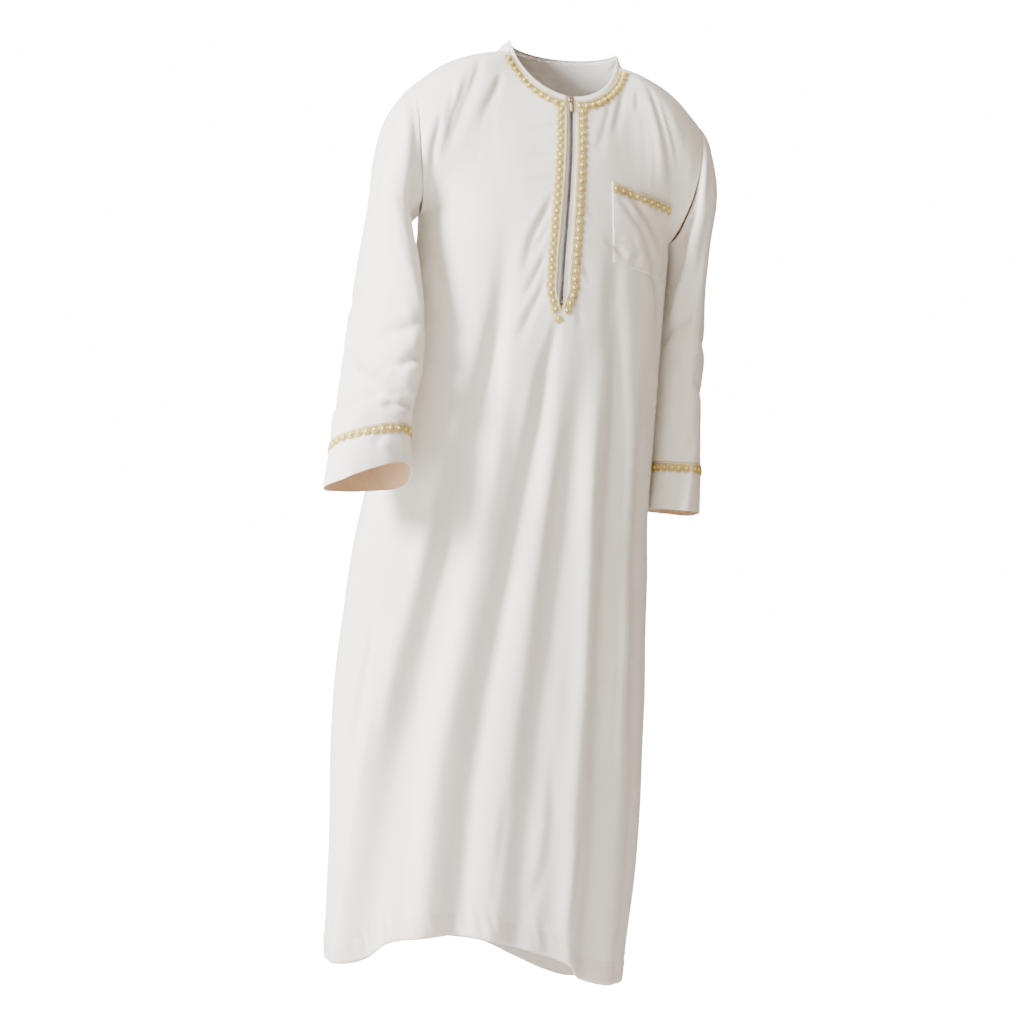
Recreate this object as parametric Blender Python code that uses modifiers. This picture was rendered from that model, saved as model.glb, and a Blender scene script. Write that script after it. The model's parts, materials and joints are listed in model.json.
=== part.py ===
"""Kaftan: an ankle-length robe kept in the hollow form of a standing figure.

Frame: metres, +Z up, the front faces -Y, the wearer's left is +X.
The origin is the middle of the neck between the tops of the two shoulders.
"""
import math

import bmesh
import bpy
import numpy as np
from mathutils import Vector
from mathutils.bvhtree import BVHTree

OBJECT_NAME = "kaftan"

# cloth and clearances
WALL = 0.0016
SEAM_GAP = 0.0006
LIFT = 0.0006
BRAID_THICK = 0.0012
BRAID_WIDTH = 0.0165
BRAID_START = 5.0
BRAID_PITCH = 0.0122
POCKET_LIFT = 0.0006

# heights of the body
CHEST_Z = -0.300
FRONT_HEM = (
    # column, height of the lower edge
    (-1.00, -1.414),
    (-0.74, -1.411),
    (-0.60, -1.397),
    (-0.49, -1.374),
    (-0.38, -1.361),
    (-0.15, -1.348),
    (0.05, -1.358),
    (0.26, -1.378),
    (0.34, -1.400),
    (0.46, -1.411),
    (0.72, -1.415),
    (1.00, -1.416),
)
BACK_HEM = (
    # column, height of the lower edge
    (-1.00, -1.414),
    (-0.60, -1.396),
    (-0.20, -1.388),
    (0.10, -1.393),
    (0.25, -1.414),
    (0.40, -1.430),
    (0.60, -1.432),
    (1.00, -1.416),
)
HEM_DEPTH = 0.034
HEM_RAISE = 0.0007

# neck: plan of the seam between panels and neck band
NECK_HALF = 0.089
NECK_FRONT = 0.082
NECK_BACK = 0.070
NECK_FRONT_Z = -0.086
NECK_BACK_Z = -0.004
NECK_SIDE_Z = 0.004
NECK_BAND = 0.0066
NECK_BAND_FRONT = 0.0112
NECK_CURVE = 1.10
NECK_SEAM_ANGLE = 77.0

# shoulder seam and armhole
SHOULDER_SHIFT = -0.003
RIDGE_TABLE = (
    # half width, height of the ridge
    (0.085, 0.009),
    (0.124, -0.007),
    (0.180, -0.040),
    (0.222, -0.079), (0.228, -0.0845),
)
SEAM_DROP = 0.0045
ARM_TOP_X = 0.228
ARM_LOW_X = 0.197
ARM_MID_Z = -0.1795
ARM_HALF_Z = 0.0965
ARM_MID_Y = 0.004
ARM_HALF_Y = 0.076
ARM_HOLLOW = -0.005
ARM_SEAM_ANGLE = 17.0

# column where the top edge changes from neck to shoulder; the outer columns follow the armhole
COL_NECK = 0.40
ARM_EASE = 1.5
ARM_SHARE = 0.90
# easing of the corner where neck and shoulder meet: reach in columns, depth in rows, weights
EASE_REACH = 0.17
EASE_DEPTH = 0.22
EASE_FOOT = 0.15
EASE_KERNEL = ((-1.0, 0.11), (-0.5, 0.22), (0.0, 0.34), (0.5, 0.22), (1.0, 0.11))

# body below the arms: sizes of the section at each height
BODY_TABLE = (
    # z, half_width, front, back, centre_x, side_x, mid_y
    (-0.300, 0.196, 0.127, 0.118, 0.002, -0.001, 0.004),
    (-0.420, 0.200, 0.129, 0.112, 0.004, -0.003, 0.002),
    (-0.560, 0.2075, 0.124, 0.116, 0.003, -0.0105, 0.000),
    (-0.720, 0.222, 0.128, 0.128, 0.000, -0.020, 0.000),
    (-0.880, 0.236, 0.137, 0.139, -0.002, -0.019, 0.000),
    (-1.050, 0.243, 0.146, 0.148, -0.002, -0.014, 0.002),
    (-1.220, 0.240, 0.150, 0.152, 0.000, -0.004, 0.004),
    (-1.420, 0.233, 0.150, 0.154, 0.002, 0.000, 0.006),
)
SECTION_SQUARE = 0.10

# direction in which a column leaves the top edge
FRONT_START = (
    # column, x, y, z, reach
    (0.00, 0.00, -0.50, -0.87, 0.95),
    (0.20, 0.22, -0.60, -0.77, 0.95),
    (0.40, 0.50, -0.72, -0.48, 0.95),
    (0.50, 0.28, -0.85, -0.43, 1.05),
    (0.70, 0.02, -0.88, -0.46, 1.45),
    (1.00, -0.08, -0.88, -0.46, 2.10),
)
BACK_START = (
    # column, x, y, z, reach
    (0.00, 0.00, 0.55, -0.84, 0.95),
    (0.14, 0.05, 0.68, -0.70, 0.95),
    (0.28, 0.10, 0.85, -0.42, 1.00),
    (0.34, 0.25, 0.90, -0.12, 1.10),
    (0.40, 0.46, 0.85, 0.14, 1.22),
    (0.52, 0.18, 0.93, 0.22, 1.30),
    (0.70, 0.02, 0.94, 0.24, 1.65),
    (1.00, -0.06, 0.94, 0.24, 2.20),
)

# folds: columns at the top, middle and foot of the fold, its heights, width and depth
FRONT_FOLDS = (
    # name, column at each height of FOLD_HEIGHTS, z_top, width_top, width_low, depth
    ("deep_right", -0.27, -0.30, -0.365, -0.48, -0.60, -0.34, 0.050, 0.140, -0.020),
    ("ridge_right", -0.42, -0.41, -0.480, -0.645, -0.80, -0.50, 0.060, 0.080, 0.010),
    ("ridge_inner", -0.20, -0.205, -0.245, -0.30, -0.31, -0.55, 0.050, 0.060, 0.009),
    ("middle", -0.06, -0.05, -0.118, -0.165, -0.18, -0.45, 0.045, 0.050, -0.014),
    ("ridge_middle", 0.02, 0.015, -0.022, -0.03, -0.04, -0.52, 0.045, 0.045, 0.006),
    ("soft_left", 0.12, 0.115, 0.085, 0.055, 0.05, -0.50, 0.045, 0.045, -0.007),
    ("ridge_left", 0.21, 0.21, 0.235, 0.235, 0.29, -0.50, 0.050, 0.050, 0.010),
    ("sharp_left", 0.25, 0.338, 0.33, 0.368, 0.39, -0.32, 0.050, 0.055, -0.013),
    ("ridge_side", 0.46, 0.475, 0.465, 0.47, 0.50, -0.45, 0.070, 0.070, 0.007),
)
BACK_FOLDS = (
    # name, column at each height of FOLD_HEIGHTS, z_top, width_top, width_low, depth
    ("back_right", -0.42, -0.45, -0.48, -0.52, -0.55, -0.40, 0.085, 0.110, -0.015),
    ("back_ridge_right", -0.24, -0.26, -0.28, -0.30, -0.32, -0.48, 0.080, 0.090, 0.008),
    ("back_middle", 0.02, 0.03, 0.02, 0.00, -0.02, -0.50, 0.080, 0.090, -0.011),
    ("back_ridge_left", 0.22, 0.24, 0.24, 0.25, 0.26, -0.48, 0.080, 0.090, 0.008),
    ("back_left", 0.40, 0.43, 0.46, 0.50, 0.54, -0.40, 0.085, 0.100, -0.016),
    ("back_ridge_side", 0.62, 0.64, 0.66, 0.70, 0.72, -0.60, 0.080, 0.090, 0.007),
)
FOLD_HEIGHTS = (-0.30, -0.60, -0.90, -1.15, -1.40)

# zip
SLIT_HALF_TOP = 0.0078
SLIT_HALF_LOW = 0.0095
TAPE_INNER = 0.0031
TAPE_OUTER = 0.0165
TAPE_THICK = 0.0009
CHAIN_HALF = 0.0024
CHAIN_OUT = -0.0010
CHAIN_IN = -0.0036
SLIDER_MIDDLE = 0.0080
SLIDER_HALF_LENGTH = 0.0062
STOP_LENGTH = 0.0060
PIN_BELOW = 0.0029
PIN_HEIGHT = 0.00105

# chest pocket: corners seen from the front as x, z
POCKET_TOP_IN = (0.067, -0.203)
POCKET_TOP_OUT = (0.174, -0.222)
POCKET_LOW_IN = (0.081, -0.324)
POCKET_LOW_OUT = (0.170, -0.336)

# sleeves: rings below the armhole
SLEEVE_RIGHT = (
    # x, y, z of the ring's middle, half width sideways, half depth, tilt in degrees, inward lean of its front
    (-0.2480, -0.007, -0.300, 0.0330, 0.083, 0.0, 0.000),
    (-0.2475, -0.046, -0.420, 0.0398, 0.072, 5.0, 0.026),
    (-0.2500, -0.080, -0.520, 0.0467, 0.060, 12.0, 0.030),
    (-0.2625, -0.106, -0.610, 0.0567, 0.050, 15.0, 0.012),
    (-0.2645, -0.138, -0.690, 0.0675, 0.044, 13.0, 0.000),
)
# rise of the cuff's edge by the angle round the sleeve, wearer's right and left
CUFF_LIFT_RIGHT = (
    (0.0, 0.000), (45.0, -0.004), (90.0, 0.004), (130.0, 0.012), (160.0, 0.007),
    (185.0, -0.001), (215.0, -0.006), (250.0, 0.000), (300.0, 0.005), (360.0, 0.000),
)
CUFF_LIFT_LEFT = (
    (0.0, 0.000), (90.0, -0.007), (180.0, 0.000), (270.0, 0.007), (360.0, 0.000),
)
SLEEVE_LEFT = (
    # x, y, z of the ring's middle, half width sideways, half depth, tilt in degrees, inward lean
    (0.2315, 0.012, -0.300, 0.0310, 0.080, 0.0, 0.000),
    (0.2380, 0.020, -0.420, 0.0330, 0.072, 0.0, 0.000),
    (0.2410, 0.014, -0.530, 0.0350, 0.066, 0.0, 0.000),
    (0.2430, 0.002, -0.610, 0.0370, 0.062, 0.0, 0.000),
    (0.2435, -0.010, -0.686, 0.0390, 0.060, 0.0, 0.000),
)
SLEEVE_START = (
    # angle round the armhole, outward, front, down
    (0.0, 0.70, 0.00, 0.71),
    (90.0, 0.50, 0.30, 0.81),
    (180.0, 0.45, -0.04, 0.89),
    (270.0, 0.50, -0.30, 0.81),
    (360.0, 0.70, 0.00, 0.71),
)


def smooth(edge0, edge1, value):
    """Return a soft step from 0 at edge0 to 1 at edge1."""
    t = min(max((value - edge0) / (edge1 - edge0), 0.0), 1.0)
    return t * t * (3.0 - 2.0 * t)


def table_row(table, key):
    """Return the columns after the first, read smoothly at key."""
    rows = sorted(table)
    keys = [row[0] for row in rows]
    data = np.array([row[1:] for row in rows], dtype=float)
    if key <= keys[0]:
        return data[0]
    if key >= keys[-1]:
        return data[-1]
    k = int(np.searchsorted(keys, key)) - 1
    k = max(k, 0)
    span = keys[k + 1] - keys[k]
    t = (key - keys[k]) / span

    def slope(i):
        if i == 0 or i == len(keys) - 1:
            return np.zeros(data.shape[1]) if i else (data[1] - data[0]) / (keys[1] - keys[0])
        return (data[i + 1] - data[i - 1]) / (keys[i + 1] - keys[i - 1])

    m0 = slope(k) * span
    m1 = slope(k + 1) * span
    a = 2 * t ** 3 - 3 * t ** 2 + 1
    b = t ** 3 - 2 * t ** 2 + t
    c = -2 * t ** 3 + 3 * t ** 2
    d = t ** 3 - t ** 2
    return a * data[k] + b * m0 + c * data[k + 1] + d * m1


def body_point(col, z, side):
    """Return a point of the smooth body; side is -1 for the front, 1 for the back."""
    half, front, back, centre_x, side_x, mid_y = table_row(BODY_TABLE, z)
    phi = col * math.pi / 2
    sn, cs = math.sin(phi), math.cos(phi)
    shift = centre_x * cs * cs + side_x * sn * sn
    if side > 0:
        shift = side_x
    depth = front if side < 0 else back
    x = shift + half * sn * (1 + SECTION_SQUARE * cs * cs)
    y = mid_y + side * depth * cs * (1 + SECTION_SQUARE * sn * sn)
    return np.array((x, y, z))


def neck_point(angle):
    """Return a point of the neck seam; 0 degrees is the front, 180 the back."""
    a = math.radians(angle)
    sn, cs = math.sin(a), math.cos(a)
    if cs >= 0:
        y = -NECK_FRONT * cs
        z = NECK_SIDE_Z + (NECK_FRONT_Z - NECK_SIDE_Z) * cs ** NECK_CURVE
    else:
        y = -NECK_BACK * cs
        z = NECK_SIDE_Z + (NECK_BACK_Z - NECK_SIDE_Z) * (-cs) ** 1.45
    return np.array((NECK_HALF * sn, y, z))


def neck_edge(angle):
    """Return the point of the open neck edge inside neck_point(angle)."""
    base = neck_point(angle)
    a = math.radians(angle)
    inward = np.array((-math.sin(a), 0.85 * math.cos(a), 0.0))
    rise = 0.95 * math.sin(a) ** 2 + 1.15 * math.cos(a) ** 2
    step = inward + np.array((0.0, 0.0, rise))
    step = step / np.linalg.norm(step)
    wide = NECK_BAND + (NECK_BAND_FRONT - NECK_BAND) * max(math.cos(a), 0.0) ** 2
    return base + step * wide


def arm_point(angle, side):
    """Return a point of the armhole seam; 0 is the top, 90 the front, 180 the underarm."""
    a = math.radians(angle)
    sn, cs = math.sin(a), math.cos(a)
    x = ARM_TOP_X + (ARM_LOW_X - ARM_TOP_X) * (1 - cs) / 2 - ARM_HOLLOW * sn * sn
    return np.array((SHOULDER_SHIFT + side * x, ARM_MID_Y - ARM_HALF_Y * sn, ARM_MID_Z + ARM_HALF_Z * cs))


def top_point(col, side):
    """Return the top edge of a column: neck, then shoulder seam."""
    m = abs(col)
    sign = 1.0 if col >= 0 else -1.0
    if m <= COL_NECK:
        u = m / COL_NECK
        angle = NECK_SEAM_ANGLE * u if side < 0 else 180.0 - (180.0 - NECK_SEAM_ANGLE) * u
        p = neck_point(angle)
        return np.array((sign * p[0], p[1], p[2]))
    u = (m - COL_NECK) / (1.0 - COL_NECK)
    a = neck_point(NECK_SEAM_ANGLE)
    a[0] *= sign
    b = arm_point(ARM_SEAM_ANGLE, sign)
    x = a[0] + (b[0] - a[0]) * u
    half = abs(a[0]) + (ARM_TOP_X - abs(a[0])) * u
    line = table_row(RIDGE_TABLE, half)[0] - SEAM_DROP
    start = a[2] - (table_row(RIDGE_TABLE, abs(a[0]))[0] - SEAM_DROP)
    end = b[2] - (table_row(RIDGE_TABLE, ARM_TOP_X)[0] - SEAM_DROP)
    z = line + start * (1 - u) ** 2 + end * u ** 2
    y = a[1] + (b[1] - a[1]) * u
    return np.array((x, y, z))


def side_edge(v, side, sign):
    """Return the outer edge of a panel: armhole, then the side seam to the chest line."""
    if v <= ARM_SHARE:
        u = v / ARM_SHARE
        if side < 0:
            return arm_point(ARM_SEAM_ANGLE + (180.0 - ARM_SEAM_ANGLE) * u, sign)
        return arm_point(ARM_SEAM_ANGLE - (180.0 + ARM_SEAM_ANGLE) * u, sign)
    u = (v - ARM_SHARE) / (1.0 - ARM_SHARE)
    return arm_point(180.0, sign) * (1 - u) + body_point(sign, CHEST_Z, side) * u


def hang_point(col, v, side):
    """Return a point of a column that hangs freely from the top edge to the chest line."""
    sign = 1.0 if col >= 0 else -1.0
    top = top_point(col, side)
    low = body_point(col, CHEST_Z, side)
    below = body_point(col, CHEST_Z - 0.01, side)
    row = table_row(FRONT_START if side < 0 else BACK_START, abs(col))
    start = row[:3] * np.array((sign, 1, 1))
    start = start / np.linalg.norm(start)
    end = (below - low) / np.linalg.norm(below - low)
    length = np.linalg.norm(low - top)
    m0 = start * length * row[3]
    m1 = end * length * 0.95
    a = 2 * v ** 3 - 3 * v ** 2 + 1
    b = v ** 3 - 2 * v ** 2 + v
    c = -2 * v ** 3 + 3 * v ** 2
    d = v ** 3 - v ** 2
    return a * top + b * m0 + c * low + d * m1


def patch_point(col, v, side):
    """Return a point of the upper panel before its corners are eased."""
    sign = 1.0 if col >= 0 else -1.0
    point = hang_point(col, v, side)
    if abs(col) > COL_NECK:
        share = ((abs(col) - COL_NECK) / (1.0 - COL_NECK)) ** ARM_EASE
        point = point + share * (side_edge(v, side, sign) - hang_point(sign, v, side))
    return point


def upper_point(col, v, side):
    """Return a point between the top edge (v 0) and the chest line (v 1), corners eased."""
    ease = smooth(0.0, EASE_DEPTH, v) * smooth(0.0, EASE_FOOT, 1.0 - v)
    reach = EASE_REACH * ease * min(1.0, (1.0 - abs(col)) / EASE_REACH)
    if reach < 1e-4:
        return patch_point(col, v, side)
    total = np.zeros(3)
    for step, weight in EASE_KERNEL:
        total += weight * patch_point(col + reach * step, v, side)
    return total


def hem_height(col, side):
    """Return the height of the lower edge at a column."""
    return float(table_row(FRONT_HEM if side < 0 else BACK_HEM, col)[0])


def fold_depth(col, z, folds):
    """Return how far the folds move the cloth outward at a column and height."""
    total = 0.0
    for row in folds:
        z_top, width_top, width_low, depth = row[6:]
        if z > z_top + 0.10:
            continue
        at = table_row(list(zip(FOLD_HEIGHTS, row[1:6])), z)[0]
        t = smooth(z_top, -1.40, z)
        width = width_top + (width_low - width_top) * t
        grow = smooth(z_top + 0.10, z_top - 0.22, z)
        total += depth * grow * math.exp(-((col - at) / width) ** 2)
    return total * smooth(1.0, 0.90, abs(col))


def panel_points(cols, upper_rows, lower_rows, side, folds):
    """Return the points of a panel as an array of columns, rows and xyz."""
    base = np.zeros((len(cols), len(upper_rows) + len(lower_rows), 3))
    for i, col in enumerate(cols):
        for j, v in enumerate(upper_rows):
            base[i, j] = upper_point(col, v, side)
        hem = hem_height(col, side)
        for j, v in enumerate(lower_rows):
            z = CHEST_Z + (hem - CHEST_Z) * v
            base[i, len(upper_rows) + j] = body_point(col, z, side)
    across = np.gradient(base, axis=0)
    along = np.gradient(base, axis=1)
    normal = np.cross(along, across) * -side
    normal /= np.linalg.norm(normal, axis=2)[:, :, None]
    out = base.copy()
    for i, col in enumerate(cols):
        for j in range(base.shape[1]):
            z = base[i, j, 2]
            move = fold_depth(col, z, folds)
            if j >= len(upper_rows):
                hem = hem_height(col, side)
                move += HEM_RAISE * smooth(hem + HEM_DEPTH + 0.002, hem + HEM_DEPTH - 0.002, z)
            out[i, j] += normal[i, j] * move
    return out, normal


def front_columns():
    """Return the column positions of the front, with the slit edges among them."""
    right = [-1.0, -0.955, -0.90, -0.84, -0.78, -0.72, -0.66, -0.60, -0.55, -0.50]
    right += [-0.45, -0.40, -0.35, -0.30, -0.25, -0.20, -0.15, -0.10, -0.05]
    return right + [0.0] + [-c for c in reversed(right)]


UPPER_ROWS = (0.0, 0.055, 0.12, 0.20, 0.29, 0.38, 0.48, 0.58, 0.69, 0.80, 0.90, 1.0)
LOWER_ROWS = (0.035, 0.072, 0.098, 0.15, 0.21, 0.28, 0.36, 0.45, 0.54, 0.63, 0.72, 0.81, 0.90, 0.9685, 1.0)
SLIT_ROW = 13
BACK_UPPER = (0.0, 0.05, 0.11, 0.18, 0.27, 0.38, 0.50, 0.63, 0.76, 0.90, 1.0)
BACK_LOWER = (0.07, 0.15, 0.25, 0.36, 0.48, 0.60, 0.72, 0.83, 0.92, 0.9685, 1.0)
BACK_HALF = (-1.0, -0.955, -0.90, -0.84, -0.78, -0.72, -0.66, -0.60, -0.55, -0.50, -0.45, -0.40)
BACK_HALF += (-0.34, -0.275, -0.205, -0.135, -0.065)
BACK_COLS = BACK_HALF + (0.0,) + tuple(-c for c in reversed(BACK_HALF))


def material(name, color, roughness, metallic=0.0):
    """Return a Principled material."""
    mat = bpy.data.materials.new(name)
    mat.use_nodes = True
    shader = mat.node_tree.nodes["Principled BSDF"]
    shader.inputs["Base Color"].default_value = (*color, 1.0)
    shader.inputs["Roughness"].default_value = roughness
    shader.inputs["Metallic"].default_value = metallic
    return mat


def new_mesh(name, points, faces, mat, collection):
    """Create an object from points and faces."""
    mesh = bpy.data.meshes.new(name)
    mesh.from_pydata([tuple(p) for p in points], [], faces)
    mesh.materials.append(mat)
    obj = bpy.data.objects.new(name, mesh)
    collection.objects.link(obj)
    return obj


def face_outward(obj):
    """Turn every face of a closed body to the outside."""
    bm = bmesh.new()
    bm.from_mesh(obj.data)
    bmesh.ops.recalc_face_normals(bm, faces=bm.faces)
    if bm.calc_volume(signed=True) < 0:
        bmesh.ops.reverse_faces(bm, faces=bm.faces)
    bm.to_mesh(obj.data)
    bm.free()


def solidify(obj, thickness, offset=-1.0):
    """Give an open surface its wall."""
    mod = obj.modifiers.new("wall", "SOLIDIFY")
    mod.thickness = thickness
    mod.offset = offset
    mod.use_rim = True
    return mod


def grid_faces(n_cols, n_rows, start=0, skip=(), wrap=False):
    """Return triangles of a grid whose point i, j has index start + i * n_rows + j."""
    faces = []
    last = n_cols if wrap else n_cols - 1
    for i in range(last):
        k = (i + 1) % n_cols
        for j in range(n_rows - 1):
            if (i, j) in skip:
                continue
            a = start + i * n_rows + j
            b = start + k * n_rows + j
            faces.append((a, a + 1, b))
            faces.append((b, a + 1, b + 1))
    return faces


def close_grid(outer, inner, skip_wrap=False):
    """Return points and faces of a closed body between two equal grids of points."""
    n_cols, n_rows = len(outer), len(outer[0])
    points = [p for col in outer for p in col] + [p for col in inner for p in col]
    size = n_cols * n_rows
    faces = grid_faces(n_cols, n_rows, wrap=skip_wrap)
    faces += [(c, b, a) for a, b, c in grid_faces(n_cols, n_rows, start=size, wrap=skip_wrap)]
    rim = []
    for i in range(n_cols if skip_wrap else n_cols - 1):
        k = (i + 1) % n_cols
        rim.append((i * n_rows, k * n_rows))
        rim.append((k * n_rows + n_rows - 1, i * n_rows + n_rows - 1))
    if not skip_wrap:
        for j in range(n_rows - 1):
            rim.append((j + 1, j))
            rim.append(((n_cols - 1) * n_rows + j, (n_cols - 1) * n_rows + j + 1))
    for a, b in rim:
        faces.append((a, b, b + size))
        faces.append((a, b + size, a + size))
    return points, faces


def shrink_edges(grid, cols):
    """Pull the seams of a panel back by half a gap, so that panels don't touch."""
    out = grid.copy()
    half = SEAM_GAP * 0.6

    def pull(edge, inner):
        run = np.gradient(edge, axis=0)
        run /= np.linalg.norm(run, axis=1)[:, None]
        step = inner - edge
        step -= run * np.sum(step * run, axis=1)[:, None]
        return step / np.linalg.norm(step, axis=1)[:, None] * half

    move = np.zeros_like(grid)
    move[0] += pull(grid[0], grid[1])
    move[-1] += pull(grid[-1], grid[-2])
    corner = np.array([2.6 if abs(abs(c) - COL_NECK) < 0.01 else 1.3 for c in cols])
    move[:, 0] += pull(grid[:, 0], grid[:, 1]) * corner[:, None]
    return out + move


class Surface:
    """The outer faces of a panel, on which other pieces are laid."""

    def __init__(self, points, faces):
        self.tree = BVHTree.FromPolygons([tuple(p) for p in points], faces)

    def lay(self, point, lift):
        """Return the point on the faces nearest to point, moved out by lift."""
        hit, normal, _index, _dist = self.tree.find_nearest(Vector(point))
        return np.array(hit + normal * lift)


def slit_half(z):
    """Return half the width of the zip opening at a height."""
    t = smooth(-0.14, -0.34, z)
    return SLIT_HALF_TOP + (SLIT_HALF_LOW - SLIT_HALF_TOP) * t


def build_front(mats, coll):
    """Build the front panel with its zip opening."""
    cols = front_columns()
    grid, _n = panel_points(cols, UPPER_ROWS, LOWER_ROWS, -1, FRONT_FOLDS)
    grid = shrink_edges(grid, cols)
    mid = len(cols) // 2
    n_rows = grid.shape[1]
    # columns beside the centre follow the edges of the opening down to its point
    full = grid.copy()
    left, right = [], []
    for j in range(n_rows):
        half = slit_half(grid[mid, j, 2])
        for store, sign, k in ((left, -1, mid - 1), (right, 1, mid + 1)):
            span = abs(full[k, j, 0] - full[mid, j, 0])
            t = half / span
            store.append(full[mid, j] + (full[k, j] - full[mid, j]) * t)
    slim = np.concatenate([full[:mid], [left], full[mid:mid + 1], [right], full[mid + 1:]])
    mid += 1
    # below the opening the extra columns spread evenly again
    for j in range(SLIT_ROW + 1, n_rows):
        t = smooth(0, 3, j - SLIT_ROW)
        for k, far in ((mid - 1, mid - 2), (mid + 1, mid + 2)):
            even = slim[mid, j] * 0.5 + slim[far, j] * 0.5
            slim[k, j] = slim[k, j] * (1 - t) + even * t
    n_cols = slim.shape[0]
    skip = {(mid - 1, j) for j in range(SLIT_ROW + 1)} | {(mid, j) for j in range(SLIT_ROW + 1)}
    faces = grid_faces(n_cols, n_rows, skip=skip)
    # the opening ends in a point
    r = mid * n_rows
    j = SLIT_ROW
    faces.append((r - n_rows + j, r - n_rows + j + 1, r + j + 1))
    faces.append((r + n_rows + j, r + j + 1, r + n_rows + j + 1))
    points = slim.reshape(-1, 3)
    used = sorted({i for f in faces for i in f})
    index = {old: new for new, old in enumerate(used)}
    faces = [tuple(index[i] for i in f) for f in faces]
    points = points[used]
    obj = new_mesh("front_panel", points, faces, mats["cloth"], coll)
    solidify(obj, WALL)
    return obj, slim, Surface(points, faces)


def build_back(mats, coll):
    """Build the back panel, which reaches over the shoulders to the front."""
    grid, _n = panel_points(BACK_COLS, BACK_UPPER, BACK_LOWER, 1, BACK_FOLDS)
    grid = shrink_edges(grid, BACK_COLS)
    points = grid.reshape(-1, 3)
    faces = [tuple(reversed(f)) for f in grid_faces(*grid.shape[:2])]
    obj = new_mesh("back_panel", points, faces, mats["cloth"], coll)
    solidify(obj, WALL)
    return obj, grid, Surface(points, faces)


SLEEVE_ANGLES = 20
SLEEVE_HEAD_ROWS = (0.0, 0.10, 0.22, 0.36, 0.52, 0.70, 0.86, 1.0)
SLEEVE_LOW_ROWS = (0.10, 0.20, 0.30, 0.40, 0.50, 0.60, 0.70, 0.80, 0.855, 0.91, 1.0)


def sleeve_ring(table, t, angle, sign):
    """Return a point of a sleeve below its head; t runs from 0 to 1 along the table."""
    keyed = [(k / (len(table) - 1), *row) for k, row in enumerate(table)]
    x, y, z, half_u, half_w, tilt, lean = table_row(keyed, t)
    step = 0.02
    ahead = table_row(keyed, min(t + step, 1.0))[:3]
    behind = table_row(keyed, max(t - step, 0.0))[:3]
    axis = (ahead - behind) / np.linalg.norm(ahead - behind)
    lateral = np.array((sign, 0.0, 0.0))
    lateral -= axis * float(lateral @ axis)
    lateral /= np.linalg.norm(lateral)
    front = np.cross(axis, lateral) * sign
    if front[1] > 0:
        front = -front
    turn = math.radians(tilt)
    lateral = lateral * math.cos(turn) + axis * math.sin(turn)
    a = math.radians(angle)
    if sign < 0:
        lift = table_row(CUFF_LIFT_RIGHT, angle)[0] * smooth(0.87, 1.0, t)
    else:
        lift = table_row(CUFF_LIFT_LEFT, angle)[0] * smooth(0.45, 0.80, t)
    side = lateral * (half_u * math.cos(a) - lean * math.sin(a))
    return np.array((x, y, z)) + side + front * half_w * math.sin(a) - axis * lift


def sleeve_points(table, sign, angles, head_rows, low_rows, folds=()):
    """Return the points of a sleeve as an array of angles, rows and xyz."""
    out = np.zeros((angles, len(head_rows) + len(low_rows), 3))
    middle = np.array((SHOULDER_SHIFT + sign * 0.21, ARM_MID_Y, ARM_MID_Z))
    for i in range(angles):
        angle = 360.0 * i / angles
        top = arm_point(angle, sign)
        go = table_row(SLEEVE_START, angle)
        start = np.array((sign * go[0], -go[1], -go[2]))
        start /= np.linalg.norm(start)
        top = top + start * SEAM_GAP + np.array((sign * SEAM_GAP * 0.5, 0, 0))
        low = sleeve_ring(table, 0.0, angle, sign)
        end = sleeve_ring(table, 0.03, angle, sign) - low
        end /= np.linalg.norm(end)
        length = np.linalg.norm(low - top)
        for j, v in enumerate(head_rows):
            a = 2 * v ** 3 - 3 * v ** 2 + 1
            b = v ** 3 - 2 * v ** 2 + v
            c = -2 * v ** 3 + 3 * v ** 2
            d = v ** 3 - v ** 2
            out[i, j] = a * top + b * start * length + c * low + d * end * length
        for j, t in enumerate(low_rows):
            out[i, len(head_rows) + j] = sleeve_ring(table, t, angle, sign)
    return out


def build_sleeve(name, table, sign, mats, coll):
    """Build a sleeve, open at the armhole and the cuff."""
    grid = sleeve_points(table, sign, SLEEVE_ANGLES, SLEEVE_HEAD_ROWS, SLEEVE_LOW_ROWS)
    points = grid.reshape(-1, 3)
    faces = grid_faces(*grid.shape[:2], wrap=True)
    if sign > 0:
        faces = [tuple(reversed(f)) for f in faces]
    obj = new_mesh(name, points, faces, mats["cloth"], coll)
    bm = bmesh.new()
    bm.from_mesh(obj.data)
    bm.normal_update()
    centre = grid[:, -1].mean(axis=0)
    far = max(bm.faces, key=lambda f: -f.calc_center_median().z)
    away = far.calc_center_median() - Vector(centre)
    flip = far.normal.dot(away) < 0
    if flip:
        bmesh.ops.reverse_faces(bm, faces=bm.faces)
    bm.to_mesh(obj.data)
    bm.free()
    if flip:
        faces = [tuple(reversed(f)) for f in faces]
    solidify(obj, WALL)
    return obj, grid, Surface(points, faces)


def station_frames(slim, mid):
    """Return the middle line of the zip opening: points, outward normals and lateral axes."""
    line = []
    edge_a = slim[mid - 1]
    edge_b = slim[mid + 1]
    lift = neck_edge(0.0) - neck_point(0.0)
    rows = [(edge_a[0] + lift, edge_b[0] + lift)]
    rows += [(edge_a[j], edge_b[j]) for j in range(SLIT_ROW + 1)]
    mids = [(a + b) / 2 for a, b in rows]
    for k, (a, b) in enumerate(rows):
        side = (b - a) / np.linalg.norm(b - a)
        down = mids[min(k + 1, len(mids) - 1)] - mids[max(k - 1, 0)]
        down /= np.linalg.norm(down)
        out = np.cross(side, down)
        if out[1] > 0:
            out = -out
        line.append((mids[k], out / np.linalg.norm(out), side))
    return line


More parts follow.
